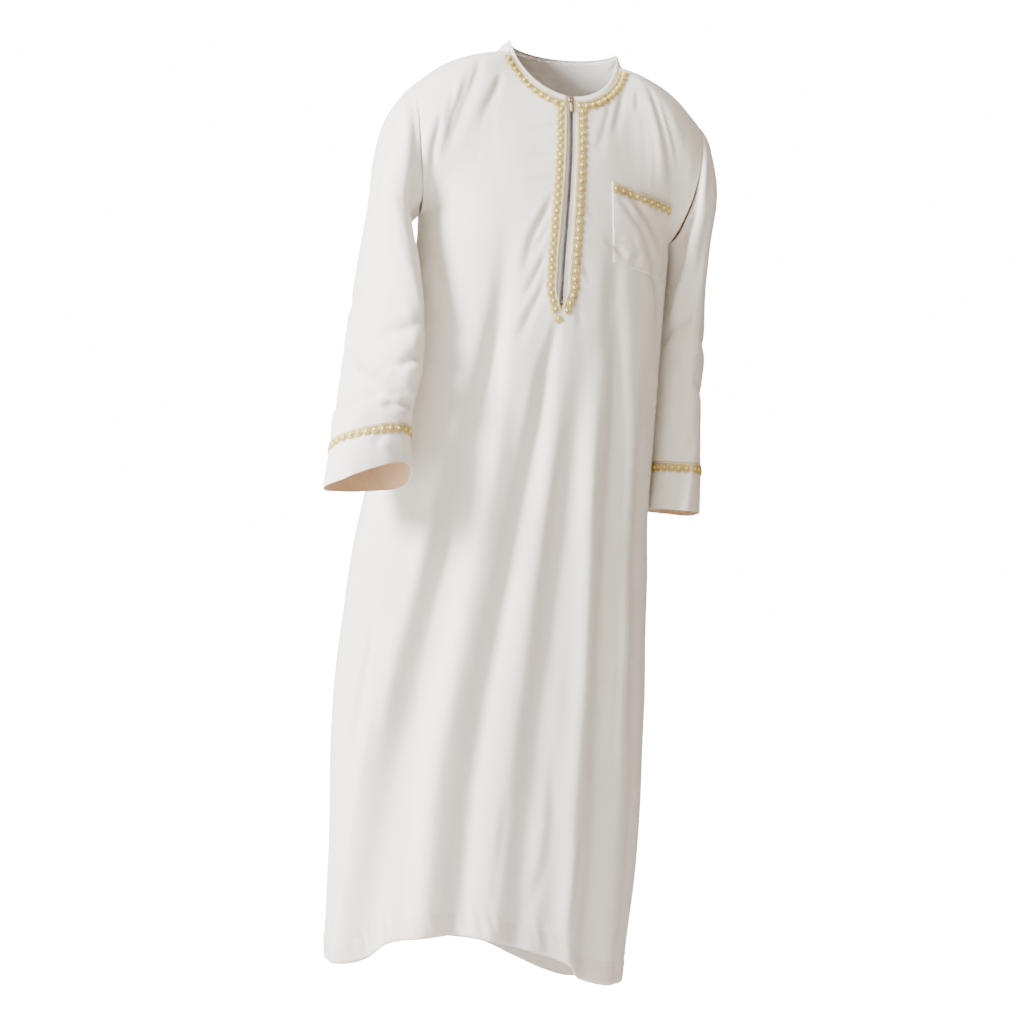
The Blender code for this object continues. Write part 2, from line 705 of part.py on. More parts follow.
class ZipLine:
    """The middle line of the zip, read by distance from its top."""

    def __init__(self, line):
        self.line = line
        steps = [np.linalg.norm(line[k + 1][0] - line[k][0]) for k in range(len(line) - 1)]
        self.at_rows = np.concatenate([[0.0], np.cumsum(steps)])
        self.length = float(self.at_rows[-1])

    def frame(self, s):
        """Return point, outward normal, lateral axis and downward axis at distance s."""
        k = int(np.searchsorted(self.at_rows, s, side="right")) - 1
        k = min(max(k, 0), len(self.line) - 2)
        t = (s - self.at_rows[k]) / (self.at_rows[k + 1] - self.at_rows[k])
        p = self.line[k][0] * (1 - t) + self.line[k + 1][0] * t
        n = self.line[k][1] * (1 - t) + self.line[k + 1][1] * t
        n /= np.linalg.norm(n)
        side = np.array((1.0, 0.0, 0.0))
        side -= n * float(side @ n)
        side /= np.linalg.norm(side)
        down = np.cross(n, side)
        if down[2] > 0:
            down = -down
        return p, n, side, down


def build_neck_band(slim, mid, back_grid, mats, coll):
    """Build the narrow band round the neck, open at the zip."""
    cols = front_columns()
    cols = cols[:len(cols) // 2] + [-0.01, 0.0, 0.01] + cols[len(cols) // 2 + 1:]
    lift = neck_edge(0.0) - neck_point(0.0)
    stations = []
    step = 1
    for k in range(mid + 1, len(cols)):
        if cols[k] > COL_NECK + 1e-6:
            break
        angle = NECK_SEAM_ANGLE * cols[k] / COL_NECK
        up = lift if step else neck_edge(angle) - neck_point(angle)
        stations.append((slim[k, 0], up))
        step = 0
    for i, col in reversed(list(enumerate(BACK_COLS))):
        if abs(col) < COL_NECK - 1e-6:
            angle = 180.0 - (180.0 - NECK_SEAM_ANGLE) * abs(col) / COL_NECK
            angle = angle if col > 0 else 360.0 - angle
            stations.append((back_grid[i, 0], neck_edge(angle) - neck_point(angle)))
    part_b = []
    for k in range(mid - 1, -1, -1):
        if cols[k] < -COL_NECK - 1e-6:
            break
        angle = NECK_SEAM_ANGLE * cols[k] / COL_NECK
        up = lift if k == mid - 1 else neck_edge(angle) - neck_point(angle)
        part_b.append((slim[k, 0], up))
    stations += list(reversed(part_b))
    grid = np.zeros((len(stations), 3, 3))
    for i, (base, up) in enumerate(stations):
        length = np.linalg.norm(up)
        grid[i, 0] = base + up / length * SEAM_GAP * 1.6
        grid[i, 1] = base + up * 0.5
        grid[i, 2] = base + up
    points = grid.reshape(-1, 3)
    faces = grid_faces(*grid.shape[:2])
    tri = faces[0]
    normal = np.cross(points[tri[1]] - points[tri[0]], points[tri[2]] - points[tri[0]])
    if normal[1] > 0:
        faces = [tuple(reversed(f)) for f in faces]
    obj = new_mesh("neck_band", points, faces, mats["cloth"], coll)
    solidify(obj, WALL)
    return obj


def build_zip(slim, mid, mats, coll):
    """Build both tapes, the chain, the bottom stop, the slider and the pull tab."""
    line = ZipLine(station_frames(slim, mid))
    lift = neck_edge(0.0) - neck_point(0.0)
    deep = WALL + LIFT
    for name, sign in (("zip_tape_right", -1), ("zip_tape_left", 1)):
        outer, inner = [], []
        for k, (m, n, side) in enumerate(line.line):
            j = max(k - 1, 0)
            up = lift if k == 0 else np.zeros(3)
            edge = slim[mid + sign, j] + up
            far = slim[mid + 2 * sign, j] + up
            a = m + side * sign * TAPE_INNER
            t = (TAPE_OUTER - abs(edge[0] - m[0])) / abs(far[0] - edge[0])
            c = edge + (far - edge) * t
            n_c = n + side * sign * 0.06
            n_c /= np.linalg.norm(n_c)
            row = [a - n * deep, edge - n * deep, c - n_c * (deep + 0.0002)]
            outer.append(row)
            inner.append([row[0] - n * TAPE_THICK, row[1] - n * TAPE_THICK, row[2] - n_c * TAPE_THICK])
        points, faces = close_grid(outer, inner)
        face_outward(new_mesh(name, points, faces, mats["tape"], coll))
    start = SLIDER_MIDDLE + SLIDER_HALF_LENGTH + 0.0006
    end = line.length - 0.0120
    marks = [start] + [s for s in line.at_rows if start + 0.003 < s < end - 0.003] + [end]
    bar_mesh("zip_chain", line, marks, CHAIN_HALF, CHAIN_OUT, CHAIN_IN, mats["chain"], coll)
    marks = [end + 0.0006, end + 0.0006 + STOP_LENGTH]
    bar_mesh("zip_bottom_stop", line, marks, CHAIN_HALF, CHAIN_OUT + 0.0009, CHAIN_IN, mats["chain"], coll)
    build_slider(line, mats, coll)
    return line


def bar_mesh(name, line, marks, half, high, low, mat, coll):
    """Create a bar of four-sided section along the zip."""
    outer, inner = [], []
    for s in marks:
        p, n, side, _down = line.frame(s)
        outer.append([p - side * half + n * high, p + side * half + n * high])
        inner.append([p - side * half + n * low, p + side * half + n * low])
    points, faces = close_grid(outer, inner)
    face_outward(new_mesh(name, points, faces, mat, coll))


def extrude_profile(name, profile, place, half, mat, coll):
    """Create a plate from a profile in two axes, extruded to both sides of the third."""
    n = len(profile)
    points = [place(a, b, -half) for a, b in profile] + [place(a, b, half) for a, b in profile]
    faces = [tuple(range(n)), tuple(reversed(range(n, 2 * n)))]
    faces += [(i, i + n, (i + 1) % n + n, (i + 1) % n) for i in range(n)]
    obj = new_mesh(name, points, faces, mat, coll)
    face_outward(obj)
    return obj


def join_solid(base, cutter_coll, tool):
    """Unite tool with base by an exact boolean."""
    for coll in list(tool.users_collection):
        coll.objects.unlink(tool)
    cutter_coll.objects.link(tool)
    tool.hide_render = True
    tool.display_type = "WIRE"
    mod = base.modifiers.new("join", "BOOLEAN")
    mod.operation = "UNION"
    mod.solver = "EXACT"
    mod.object = tool


def build_slider(line, mats, coll):
    """Build the slider with its bridge, and the pull tab that hangs from it."""
    p, n, side, down = line.frame(SLIDER_MIDDLE)
    tools = bpy.data.collections.new("zip_tools")
    bpy.context.scene.collection.children.link(tools)

    def place(across, along, out):
        return p + side * across + down * along + n * out

    rows = (
        # along, half of the front plate, half of the web, half of the back plate
        (-0.0062, 0.0036, 0.0019, 0.0034),
        (-0.0045, 0.0045, 0.0022, 0.0042),
        (0.0010, 0.0045, 0.0022, 0.0042),
        (0.0050, 0.0036, 0.0022, 0.0034),
        (0.0062, 0.0030, 0.0019, 0.0028),
    )
    points, faces = [], []
    for along, front, web, rear in rows:
        ring = [(-front, -0.0004), (front, -0.0004), (front, -0.0016), (web, -0.0016), (web, -0.0037)]
        ring += [(rear, -0.0037), (rear, -0.0048), (-rear, -0.0048), (-rear, -0.0037)]
        ring += [(-web, -0.0037), (-web, -0.0016), (-front, -0.0016)]
        points += [place(a, along, b) for a, b in ring]
    size = 12
    for i in range(len(rows) - 1):
        for k in range(size):
            a, b = i * size + k, i * size + (k + 1) % size
            faces.append((a, b, b + size, a + size))
    for start in (0, (len(rows) - 1) * size):
        for f in ((0, 1, 2, 3, 10, 11), (3, 4, 9, 10), (4, 5, 6, 7, 8, 9)):
            faces.append(tuple(start + i for i in f))
    slider = new_mesh("zip_slider", points, faces, mats["brass"], coll)
    face_outward(slider)
    bridge = ((-0.0052, -0.0009), (-0.0052, 0.0020), (-0.0038, 0.0034), (0.0038, 0.0034), (0.0052, 0.0020))
    bridge += ((0.0052, -0.0009), (0.0040, -0.0009), (0.0040, 0.0017), (0.0033, 0.0024))
    bridge += ((-0.0033, 0.0024), (-0.0040, 0.0017), (-0.0040, -0.0009))

    def place_arch(along, out, across):
        return place(across, along, out)

    arch = extrude_profile("zip_bridge_tool", bridge, place_arch, 0.0011, mats["brass"], coll)
    join_solid(slider, tools, arch)

    pin = p + down * PIN_BELOW + n * PIN_HEIGHT
    low, high = -0.00055, 0.00055

    def tab_place(across, along, out):
        return side * across + down * along + n * out

    outline = (
        # along, half width outside, half width inside
        (-0.0006, 0.0028, 0.0017),
        (0.0042, 0.0028, 0.0017),
    )
    plate = [(0.0042, 0.0028), (0.0058, 0.0036), (0.0200, 0.0036), (0.0228, 0.0026), (0.0240, 0.0010)]
    points, faces = [], []
    # two legs, their pin and the plate as one body: rows of points from the left edge to the right
    xs = [(-o, -i, i, o) for _a, o, i in outline]
    alongs = [outline[0][0], 0.0006, outline[1][0]]
    grid = []
    for widths, along in zip((xs[0], xs[0], xs[1]), alongs):
        grid.append([(x, along) for x in widths])
    for along, half in plate[1:]:
        grid.append([(x, along) for x in (-half, -half * 0.5, half * 0.5, half)])
    for level in (high, low):
        for row in grid:
            points += [tab_place(x, a, level) for x, a in row]
    count = len(grid) * 4
    cells = [(r, c) for r in range(len(grid) - 1) for c in range(3) if not (r == 1 and c == 1)]
    edges = {}
    for r, c in cells:
        q = (r * 4 + c, r * 4 + c + 1, r * 4 + 5 + c, r * 4 + 4 + c)
        faces.append(q)
        faces.append(tuple(i + count for i in reversed(q)))
        for k in range(4):
            a, b = q[k], q[(k + 1) % 4]
            edges[(a, b)] = edges.get((a, b), 0) + 1
    for a, b in list(edges):
        if (b, a) not in edges:
            faces.append((b, a, a + count, b + count))
    tab = new_mesh("zip_pull_tab", points, faces, mats["brass"], coll)
    face_outward(tab)
    tab.location = Vector(pin)


def laid_strip(name, stations, surface, mat, coll, closed=False):
    """Create a strip on a surface; a station is a row of (point, extra height)."""
    top, bottom = [], []
    for row in stations:
        top.append([surface.lay(p, LIFT + BRAID_THICK + extra) for p, extra in row])
        bottom.append([surface.lay(p, LIFT) for p, _extra in row])
    points, faces = close_grid(top, bottom, skip_wrap=closed)
    obj = new_mesh(name, points, faces, mat, coll)
    face_outward(obj)
    return obj


def strip_row(inner, outer, peak):
    """Return the three points across a braid; peaks carry a bead and a full loop."""
    reach = 1.0 if peak else 0.84
    step = outer - inner
    bead = 0.0007 if peak else 0.0001
    return [(inner, 0.0), (inner + step * 0.5, bead), (inner + step * reach, 0.0)]


def build_front_braid(name, sign, slim, mid, surface, mats, coll):
    """Build the braid from the shoulder seam round the neck and down beside the zip."""
    inset = 0.0009
    stations = []
    neck_angles = []
    start_angle = NECK_SEAM_ANGLE - BRAID_START
    corner_x = SLIT_HALF_TOP + inset
    end_angle = math.degrees(math.asin((corner_x + BRAID_WIDTH) / NECK_HALF))
    length = 0.0
    prev = neck_point(start_angle)
    for k in range(1, 41):
        cur = neck_point(start_angle + (end_angle - start_angle) * k / 40)
        length += np.linalg.norm(cur - prev)
        prev = cur
    count = 2 * max(int(round(length / BRAID_PITCH)), 1)
    for k in range(count + 1):
        neck_angles.append(start_angle + (end_angle - start_angle) * k / count)
    for k, angle in enumerate(neck_angles):
        col = angle / NECK_SEAM_ANGLE * COL_NECK
        base = neck_point(angle)
        tangent = neck_point(angle - 1.0) - neck_point(angle + 1.0)
        tangent /= np.linalg.norm(tangent)
        go = table_row(FRONT_START, col)[:3]
        go = go - tangent * float(go @ tangent)
        go /= np.linalg.norm(go)
        inner = base + go * (inset + 0.0003)
        outer = base + go * (inset + BRAID_WIDTH)
        if k == len(neck_angles) - 1:
            outer = outer + np.array((0.0022, 0, 0))
        flip = np.array((sign, 1, 1))
        stations.append(strip_row(inner * flip, outer * flip, k % 2 == 0))
    # the placket: edge of the opening read row by row
    edge = [slim[mid + sign, j] for j in range(SLIT_ROW + 1)] + [slim[mid, SLIT_ROW + 1]]
    far = np.array((sign, 0, 0))
    top_down = edge[1] - edge[0]
    top_down /= np.linalg.norm(top_down)
    corner_in = edge[0] + far * inset + top_down * inset
    corner_out = corner_in + far * BRAID_WIDTH + top_down * BRAID_WIDTH
    stations.append([(corner_in, 0.0), ((corner_in + corner_out) / 2, 0.0007), (corner_out, 0.0)])
    dist = [0.0]
    for k in range(SLIT_ROW):
        dist.append(dist[-1] + np.linalg.norm(edge[k + 1] - edge[k]))
    end = dist[-1]
    begin = BRAID_WIDTH + inset
    count = 2 * int(round((end - begin) / BRAID_PITCH))
    for k in range(count + 1):
        s = begin + (end - begin) * k / count
        p = np.array([np.interp(s, dist, [e[a] for e in edge[:SLIT_ROW + 1]]) for a in range(3)])
        inner = p + far * inset
        outer = inner + far * BRAID_WIDTH
        if k == 0:
            outer = outer + top_down * 0.0022
        stations.append(strip_row(inner, outer, k % 2 == 0))
    low = edge[-1]
    foot = low - np.array((0, 0, 0.0230))
    p = edge[SLIT_ROW]
    half = (p + low) / 2
    stations.append(strip_row(half + far * inset, half + far * 0.0145 - np.array((0, 0, 0.0085)), False))
    centre = far * 0.0005
    stations.append([(low + centre - np.array((0, 0, 0.0012)), 0.0),
                     ((low + foot) / 2 + centre, 0.0006), (foot + centre, 0.0)])
    return laid_strip(name, stations, surface, mats["braid"], coll)


def build_cuff_braid(name, table, sign, surface, mats, coll):
    """Build the closed braid round a sleeve above the cuff edge."""
    keyed = [(k / (len(table) - 1), *row) for k, row in enumerate(table)]
    last = np.linalg.norm(table_row(keyed, 1.0)[:3] - table_row(keyed, 0.75)[:3])
    count = 60
    stations = []
    for k in range(count):
        angle = 360.0 * k / count
        t_low = 1.0 - 0.25 * 0.0600 / last
        t_high = 1.0 - 0.25 * (0.0600 + BRAID_WIDTH * 0.92) / last
        low = sleeve_ring(table, t_low, angle, sign)
        high = sleeve_ring(table, t_high, angle, sign)
        reach = 1.0 if k % 2 == 0 else 0.84
        stations.append([(high, 0.0), (high + (low - high) * reach, 0.0)])
    return laid_strip(name, stations, surface, mats["braid"], coll, closed=True)


def build_pocket(front_points, front_faces, mats, coll):
    """Build the chest pocket from the faces of the front below it, and its braid."""
    bm = bmesh.new()
    verts = [bm.verts.new(tuple(p)) for p in front_points]
    for f in front_faces:
        bm.faces.new([verts[i] for i in f])
    corners = [POCKET_TOP_IN, POCKET_TOP_OUT, POCKET_LOW_OUT, POCKET_LOW_IN]
    centre = np.mean(np.array(corners), axis=0)
    doomed = [f for f in bm.faces if f.calc_center_median().y > 0.02]
    bmesh.ops.delete(bm, geom=doomed, context="FACES")
    for k in range(4):
        a, b = np.array(corners[k]), np.array(corners[(k + 1) % 4])
        side = np.array((-(b - a)[1], (b - a)[0]))
        if float(side @ (centre - a)) > 0:
            side = -side
        geom = list(bm.verts) + list(bm.edges) + list(bm.faces)
        bmesh.ops.bisect_plane(bm, geom=geom, dist=1e-6, plane_co=(a[0], 0, a[1]),
                               plane_no=(side[0], 0, side[1]), clear_outer=True)
    bmesh.ops.remove_doubles(bm, verts=bm.verts, dist=0.0006)
    bmesh.ops.triangulate(bm, faces=bm.faces)
    bm.normal_update()
    mean = sum((f.normal for f in bm.faces), Vector())
    if mean.y > 0:
        bmesh.ops.reverse_faces(bm, faces=bm.faces)
        bm.normal_update()
    moves = [(v, v.normal.copy()) for v in bm.verts]
    for v, normal in moves:
        v.co += normal * (POCKET_LIFT + WALL)
    mesh = bpy.data.meshes.new("chest_pocket")
    bm.to_mesh(mesh)
    bm.free()
    mesh.materials.append(mats["cloth"])
    obj = bpy.data.objects.new("chest_pocket", mesh)
    coll.objects.link(obj)
    solidify(obj, WALL)
    points = [np.array(v.co) for v in mesh.vertices]
    faces = [tuple(p.vertices) for p in mesh.polygons]
    surface = Surface(points, faces)
    a, b = np.array(POCKET_TOP_IN), np.array(POCKET_TOP_OUT)
    along = (b - a) / np.linalg.norm(b - a)
    under = np.array((along[1], -along[0]))
    stations = []
    count = 2 * 9
    for k in range(count + 1):
        t = k / count
        p = a + (b - a) * (0.012 + 0.976 * t)
        q = p + under * BRAID_WIDTH * (0.88 if k % 2 == 0 else 0.74)
        p = p + under * 0.0006
        row = []
        for flat in (p, q):
            hit = surface.tree.ray_cast(Vector((flat[0], -0.5, flat[1])), Vector((0, 1, 0)))[0]
            if hit is None:
                hit = surface.tree.find_nearest(Vector((flat[0], -0.10, flat[1])))[0]
            row.append((np.array(hit), 0.0))
        stations.append(row)
    laid_strip("braid_pocket", stations, surface, mats["braid"], coll)
    return obj


def main():
    """Build every piece of the kaftan."""
    for obj in list(bpy.data.objects):
        bpy.data.objects.remove(obj, do_unlink=True)
    coll = bpy.data.collections.new(OBJECT_NAME)
    bpy.context.scene.collection.children.link(coll)
    mats = {
        "cloth": material("ivory_cloth", (0.82, 0.79, 0.73), 0.75),
        "braid": material("gold_braid", (0.72, 0.58, 0.28), 0.45, 0.3),
        "tape": material("zip_tape", (0.83, 0.79, 0.70), 0.80),
        "chain": material("zip_metal", (0.16, 0.15, 0.15), 0.35, 1.0),
        "brass": material("antique_brass", (0.35, 0.26, 0.14), 0.35, 1.0),
    }
    front, slim, front_surface = build_front(mats, coll)
    mid = slim.shape[0] // 2
    _back, back_grid, _back_surface = build_back(mats, coll)
    _r, _rg, right_surface = build_sleeve("sleeve_right", SLEEVE_RIGHT, -1, mats, coll)
    _l, _lg, left_surface = build_sleeve("sleeve_left", SLEEVE_LEFT, 1, mats, coll)
    build_neck_band(slim, mid, back_grid, mats, coll)
    build_zip(slim, mid, mats, coll)
    build_front_braid("braid_front_right", -1, slim, mid, front_surface, mats, coll)
    build_front_braid("braid_front_left", 1, slim, mid, front_surface, mats, coll)
    build_cuff_braid("braid_cuff_right", SLEEVE_RIGHT, -1, right_surface, mats, coll)
    build_cuff_braid("braid_cuff_left", SLEEVE_LEFT, 1, left_surface, mats, coll)
    points = [np.array(v.co) for v in front.data.vertices]
    faces = [tuple(p.vertices) for p in front.data.polygons]
    build_pocket(points, faces, mats, coll)


if __name__ == "__main__":
    main()
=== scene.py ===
"""Looks of the kaftan: woven cloth, gold braid, metal zip, stitching and studio."""

import json
import logging
import math
from dataclasses import dataclass, field
from enum import Enum

import bmesh
import bpy
import numpy as np
from mathutils import Matrix, Vector
from mathutils.bvhtree import BVHTree

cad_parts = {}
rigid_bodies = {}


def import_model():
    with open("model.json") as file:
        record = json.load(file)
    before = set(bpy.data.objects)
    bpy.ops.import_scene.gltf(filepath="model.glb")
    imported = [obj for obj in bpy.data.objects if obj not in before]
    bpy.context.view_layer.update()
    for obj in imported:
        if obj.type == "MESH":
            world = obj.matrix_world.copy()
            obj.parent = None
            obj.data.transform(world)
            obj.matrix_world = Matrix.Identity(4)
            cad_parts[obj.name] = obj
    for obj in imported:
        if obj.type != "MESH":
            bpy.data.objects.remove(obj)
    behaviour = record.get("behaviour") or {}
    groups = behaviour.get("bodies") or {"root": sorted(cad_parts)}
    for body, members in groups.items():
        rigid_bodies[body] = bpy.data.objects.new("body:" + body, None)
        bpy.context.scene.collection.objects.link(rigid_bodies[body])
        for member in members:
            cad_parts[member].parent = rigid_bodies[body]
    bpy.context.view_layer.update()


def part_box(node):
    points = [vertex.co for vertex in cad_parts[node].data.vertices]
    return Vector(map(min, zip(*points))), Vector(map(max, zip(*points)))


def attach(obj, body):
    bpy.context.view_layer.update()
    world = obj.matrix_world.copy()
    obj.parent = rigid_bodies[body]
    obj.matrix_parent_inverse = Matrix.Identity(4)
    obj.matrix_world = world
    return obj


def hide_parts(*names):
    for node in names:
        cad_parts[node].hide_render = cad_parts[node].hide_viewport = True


log = logging.getLogger("kaftan")

# sizes shared with the solids, in metres
CHEST_Z = -0.300
HEM_DEPTH = 0.034
HEM_RAISE = 0.0007
FRONT_HEM = (
    (-1.00, -1.414), (-0.74, -1.411), (-0.60, -1.397), (-0.49, -1.374), (-0.38, -1.361), (-0.15, -1.348),
    (0.05, -1.358), (0.26, -1.378), (0.34, -1.400), (0.46, -1.411), (0.72, -1.415), (1.00, -1.416),
)
BACK_HEM = (
    (-1.00, -1.414), (-0.60, -1.396), (-0.20, -1.388), (0.10, -1.393), (0.25, -1.414), (0.40, -1.430),
    (0.60, -1.432), (1.00, -1.416),
)
NECK_HALF = 0.089
NECK_FRONT = 0.082
NECK_BACK = 0.070
NECK_FRONT_Z = -0.086
NECK_BACK_Z = -0.004
NECK_SIDE_Z = 0.004
NECK_BAND = 0.0066
NECK_BAND_FRONT = 0.0112
NECK_CURVE = 1.10
NECK_SEAM_ANGLE = 77.0
SHOULDER_SHIFT = -0.003
RIDGE_TABLE = ((0.085, 0.009), (0.124, -0.007), (0.180, -0.040), (0.222, -0.079), (0.228, -0.0845))
SEAM_DROP = 0.0045
ARM_TOP_X = 0.228
ARM_LOW_X = 0.197
ARM_MID_Z = -0.1795
ARM_HALF_Z = 0.0965
ARM_MID_Y = 0.004
ARM_HALF_Y = 0.076
ARM_HOLLOW = -0.005
ARM_SEAM_ANGLE = 17.0
# share of a panel's columns that ends at the neck, and how the corners of the upper panel are eased
COL_NECK = 0.40
ARM_EASE = 1.5
ARM_SHARE = 0.90
EASE_REACH = 0.17
EASE_DEPTH = 0.22
EASE_FOOT = 0.15
EASE_KERNEL = ((-1.0, 0.11), (-0.5, 0.22), (0.0, 0.34), (0.5, 0.22), (1.0, 0.11))
BODY_TABLE = (
    # height, half width, depth of front and back, shift of the middle and of the sides, y of the sides
    (-0.300, 0.196, 0.127, 0.118, 0.002, -0.001, 0.004),
    (-0.420, 0.200, 0.129, 0.112, 0.004, -0.003, 0.002),
    (-0.560, 0.2075, 0.124, 0.116, 0.003, -0.0105, 0.000),
    (-0.720, 0.222, 0.128, 0.128, 0.000, -0.020, 0.000),
    (-0.880, 0.236, 0.137, 0.139, -0.002, -0.019, 0.000),
    (-1.050, 0.243, 0.146, 0.148, -0.002, -0.014, 0.002),
    (-1.220, 0.240, 0.150, 0.152, 0.000, -0.004, 0.004),
    (-1.420, 0.233, 0.150, 0.154, 0.002, 0.000, 0.006),
)
SECTION_SQUARE = 0.10
FRONT_START = (
    # column, then the direction and the strength with which the cloth leaves the top edge
    (0.00, 0.00, -0.50, -0.87, 0.95), (0.20, 0.22, -0.60, -0.77, 0.95), (0.40, 0.50, -0.72, -0.48, 0.95),
    (0.50, 0.28, -0.85, -0.43, 1.05), (0.70, 0.02, -0.88, -0.46, 1.45), (1.00, -0.08, -0.88, -0.46, 2.10),
)
BACK_START = (
    (0.00, 0.00, 0.55, -0.84, 0.95), (0.14, 0.05, 0.68, -0.70, 0.95), (0.28, 0.10, 0.85, -0.42, 1.00),
    (0.34, 0.25, 0.90, -0.12, 1.10), (0.40, 0.46, 0.85, 0.14, 1.22), (0.52, 0.18, 0.93, 0.22, 1.30),
    (0.70, 0.02, 0.94, 0.24, 1.65), (1.00, -0.06, 0.94, 0.24, 2.20),
)
FOLD_HEIGHTS = (-0.30, -0.60, -0.90, -1.15, -1.40)
# folds: column at each of FOLD_HEIGHTS, height where it starts, its width there and at the hem, depth
FRONT_FOLDS = (
    (-0.27, -0.30, -0.365, -0.48, -0.60, -0.34, 0.050, 0.140, -0.020),
    (-0.42, -0.41, -0.480, -0.645, -0.80, -0.50, 0.060, 0.080, 0.010),
    (-0.20, -0.205, -0.245, -0.30, -0.31, -0.55, 0.050, 0.060, 0.009),
    (-0.06, -0.05, -0.118, -0.165, -0.18, -0.45, 0.045, 0.050, -0.014),
    (0.02, 0.015, -0.022, -0.03, -0.04, -0.52, 0.045, 0.045, 0.006),
    (0.12, 0.115, 0.085, 0.055, 0.05, -0.50, 0.045, 0.045, -0.007),
    (0.21, 0.21, 0.235, 0.235, 0.29, -0.50, 0.050, 0.050, 0.010),
    (0.25, 0.338, 0.33, 0.368, 0.39, -0.32, 0.050, 0.055, -0.013),
    (0.46, 0.475, 0.465, 0.47, 0.50, -0.45, 0.070, 0.070, 0.007),
)
BACK_FOLDS = (
    (-0.42, -0.45, -0.48, -0.52, -0.55, -0.40, 0.085, 0.110, -0.015),
    (-0.24, -0.26, -0.28, -0.30, -0.32, -0.48, 0.080, 0.090, 0.008),
    (0.02, 0.03, 0.02, 0.00, -0.02, -0.50, 0.080, 0.090, -0.011),
    (0.22, 0.24, 0.24, 0.25, 0.26, -0.48, 0.080, 0.090, 0.008),
    (0.40, 0.43, 0.46, 0.50, 0.54, -0.40, 0.085, 0.100, -0.016),
    (0.62, 0.64, 0.66, 0.70, 0.72, -0.60, 0.080, 0.090, 0.007),
)
SLEEVE_RIGHT = (
    # share of the length, x, y, z, half width, half depth, tilt in degrees, inward lean of the front
    (0.00, -0.2480, -0.007, -0.300, 0.0330, 0.083, 0.0, 0.000),
    (0.25, -0.2475, -0.046, -0.420, 0.0398, 0.072, 5.0, 0.026),
    (0.50, -0.2500, -0.080, -0.520, 0.0467, 0.060, 12.0, 0.030),
    (0.75, -0.2625, -0.106, -0.610, 0.0567, 0.050, 15.0, 0.012),
    (1.00, -0.2645, -0.138, -0.690, 0.0675, 0.044, 13.0, 0.000),
)
CUFF_LIFT_RIGHT = (
    # degrees round the sleeve, and how far the edge is drawn up there
    (0.0, 0.000), (45.0, -0.004), (90.0, 0.004), (130.0, 0.012), (160.0, 0.007),
    (185.0, -0.001), (215.0, -0.006), (250.0, 0.000), (300.0, 0.005), (360.0, 0.000),
)
CUFF_LIFT_LEFT = (
    (0.0, 0.000), (90.0, -0.007), (180.0, 0.000), (270.0, 0.007), (360.0, 0.000),
)
SLEEVE_LEFT = (
    (0.00, 0.2315, 0.012, -0.300, 0.0310, 0.080, 0.0, 0.000),
    (0.25, 0.2380, 0.020, -0.420, 0.0330, 0.072, 0.0, 0.000),
    (0.50, 0.2410, 0.014, -0.530, 0.0350, 0.066, 0.0, 0.000),
    (0.75, 0.2430, 0.002, -0.610, 0.0370, 0.062, 0.0, 0.000),
    (1.00, 0.2435, -0.010, -0.686, 0.0390, 0.060, 0.0, 0.000),
)
SLEEVE_START = (
    (0.0, 0.70, 0.00, 0.71), (90.0, 0.50, 0.30, 0.81), (180.0, 0.45, -0.04, 0.89),
    (270.0, 0.50, -0.30, 0.81), (360.0, 0.70, 0.00, 0.71),
)
SLIT_HALF_TOP = 0.0078
SLIT_HALF_LOW = 0.0095
SLIT_FOOT_Z = -0.377
SLIT_POINT_Z = -0.405
BRAID_PITCH = 0.0122
BRAID_WIDTH = 0.0165
BRAID_START = 5.0
BRAID_CORDS = (0.0007, 0.0022, 0.0036)
WALL = 0.0016
CLOTH_WALL = 0.0011
CUFF_RISE = 0.060
SEAM_SINK = 0.0009
SEAM_WIDTH = 0.0022
EDGE_WIDTH = 0.0015
SLEEVE_RADIUS = 0.055
SEWN_WIDTH = 0.0020
MERGE_DISTANCE = 0.00005


class Side(Enum):
    """Which half of the body a panel covers."""

    FRONT = -1
    BACK = 1


class Plane(Enum):
    """The direction from which a crease is laid down: axis across and the sign of the normal."""

    FRONT = (0, 1, -1)
    BACK = (0, 1, 1)
    RIGHT = (1, 0, -1)
    LEFT = (1, 0, 1)


def soft_step(low: float, high: float, value: np.ndarray) -> np.ndarray:
    """Soft step from 0 at low to 1 at high.

    Args:
        low: value where the step starts.
        high: value where the step ends; may be below low.
        value: values to read.

    Returns:
        The step at each value.
    """
    t = np.clip((value - low) / (high - low), 0.0, 1.0)
    return t * t * (3.0 - 2.0 * t)


def read_table(table: tuple, key: np.ndarray) -> np.ndarray:
    """Read the columns of a table smoothly.

    Args:
        table: rows whose first number is the key.
        key: keys to read, of any shape.

    Returns:
        Array with one more axis than key, holding the other columns.
    """
    rows = np.array(sorted(table), dtype=float)
    keys, data = rows[:, 0], rows[:, 1:]
    key = np.clip(np.asarray(key, dtype=float), keys[0], keys[-1])
    k = np.clip(np.searchsorted(keys, key, side="left") - 1, 0, len(keys) - 2)
    span = (keys[k + 1] - keys[k])[..., None]
    t = (key - keys[k])[..., None] / span
    slope = np.zeros_like(data)
    slope[1:-1] = (data[2:] - data[:-2]) / (keys[2:] - keys[:-2])[:, None]
    slope[0] = (data[1] - data[0]) / (keys[1] - keys[0])
    return hermite(data[k], slope[k] * span, data[k + 1], slope[k + 1] * span, t)


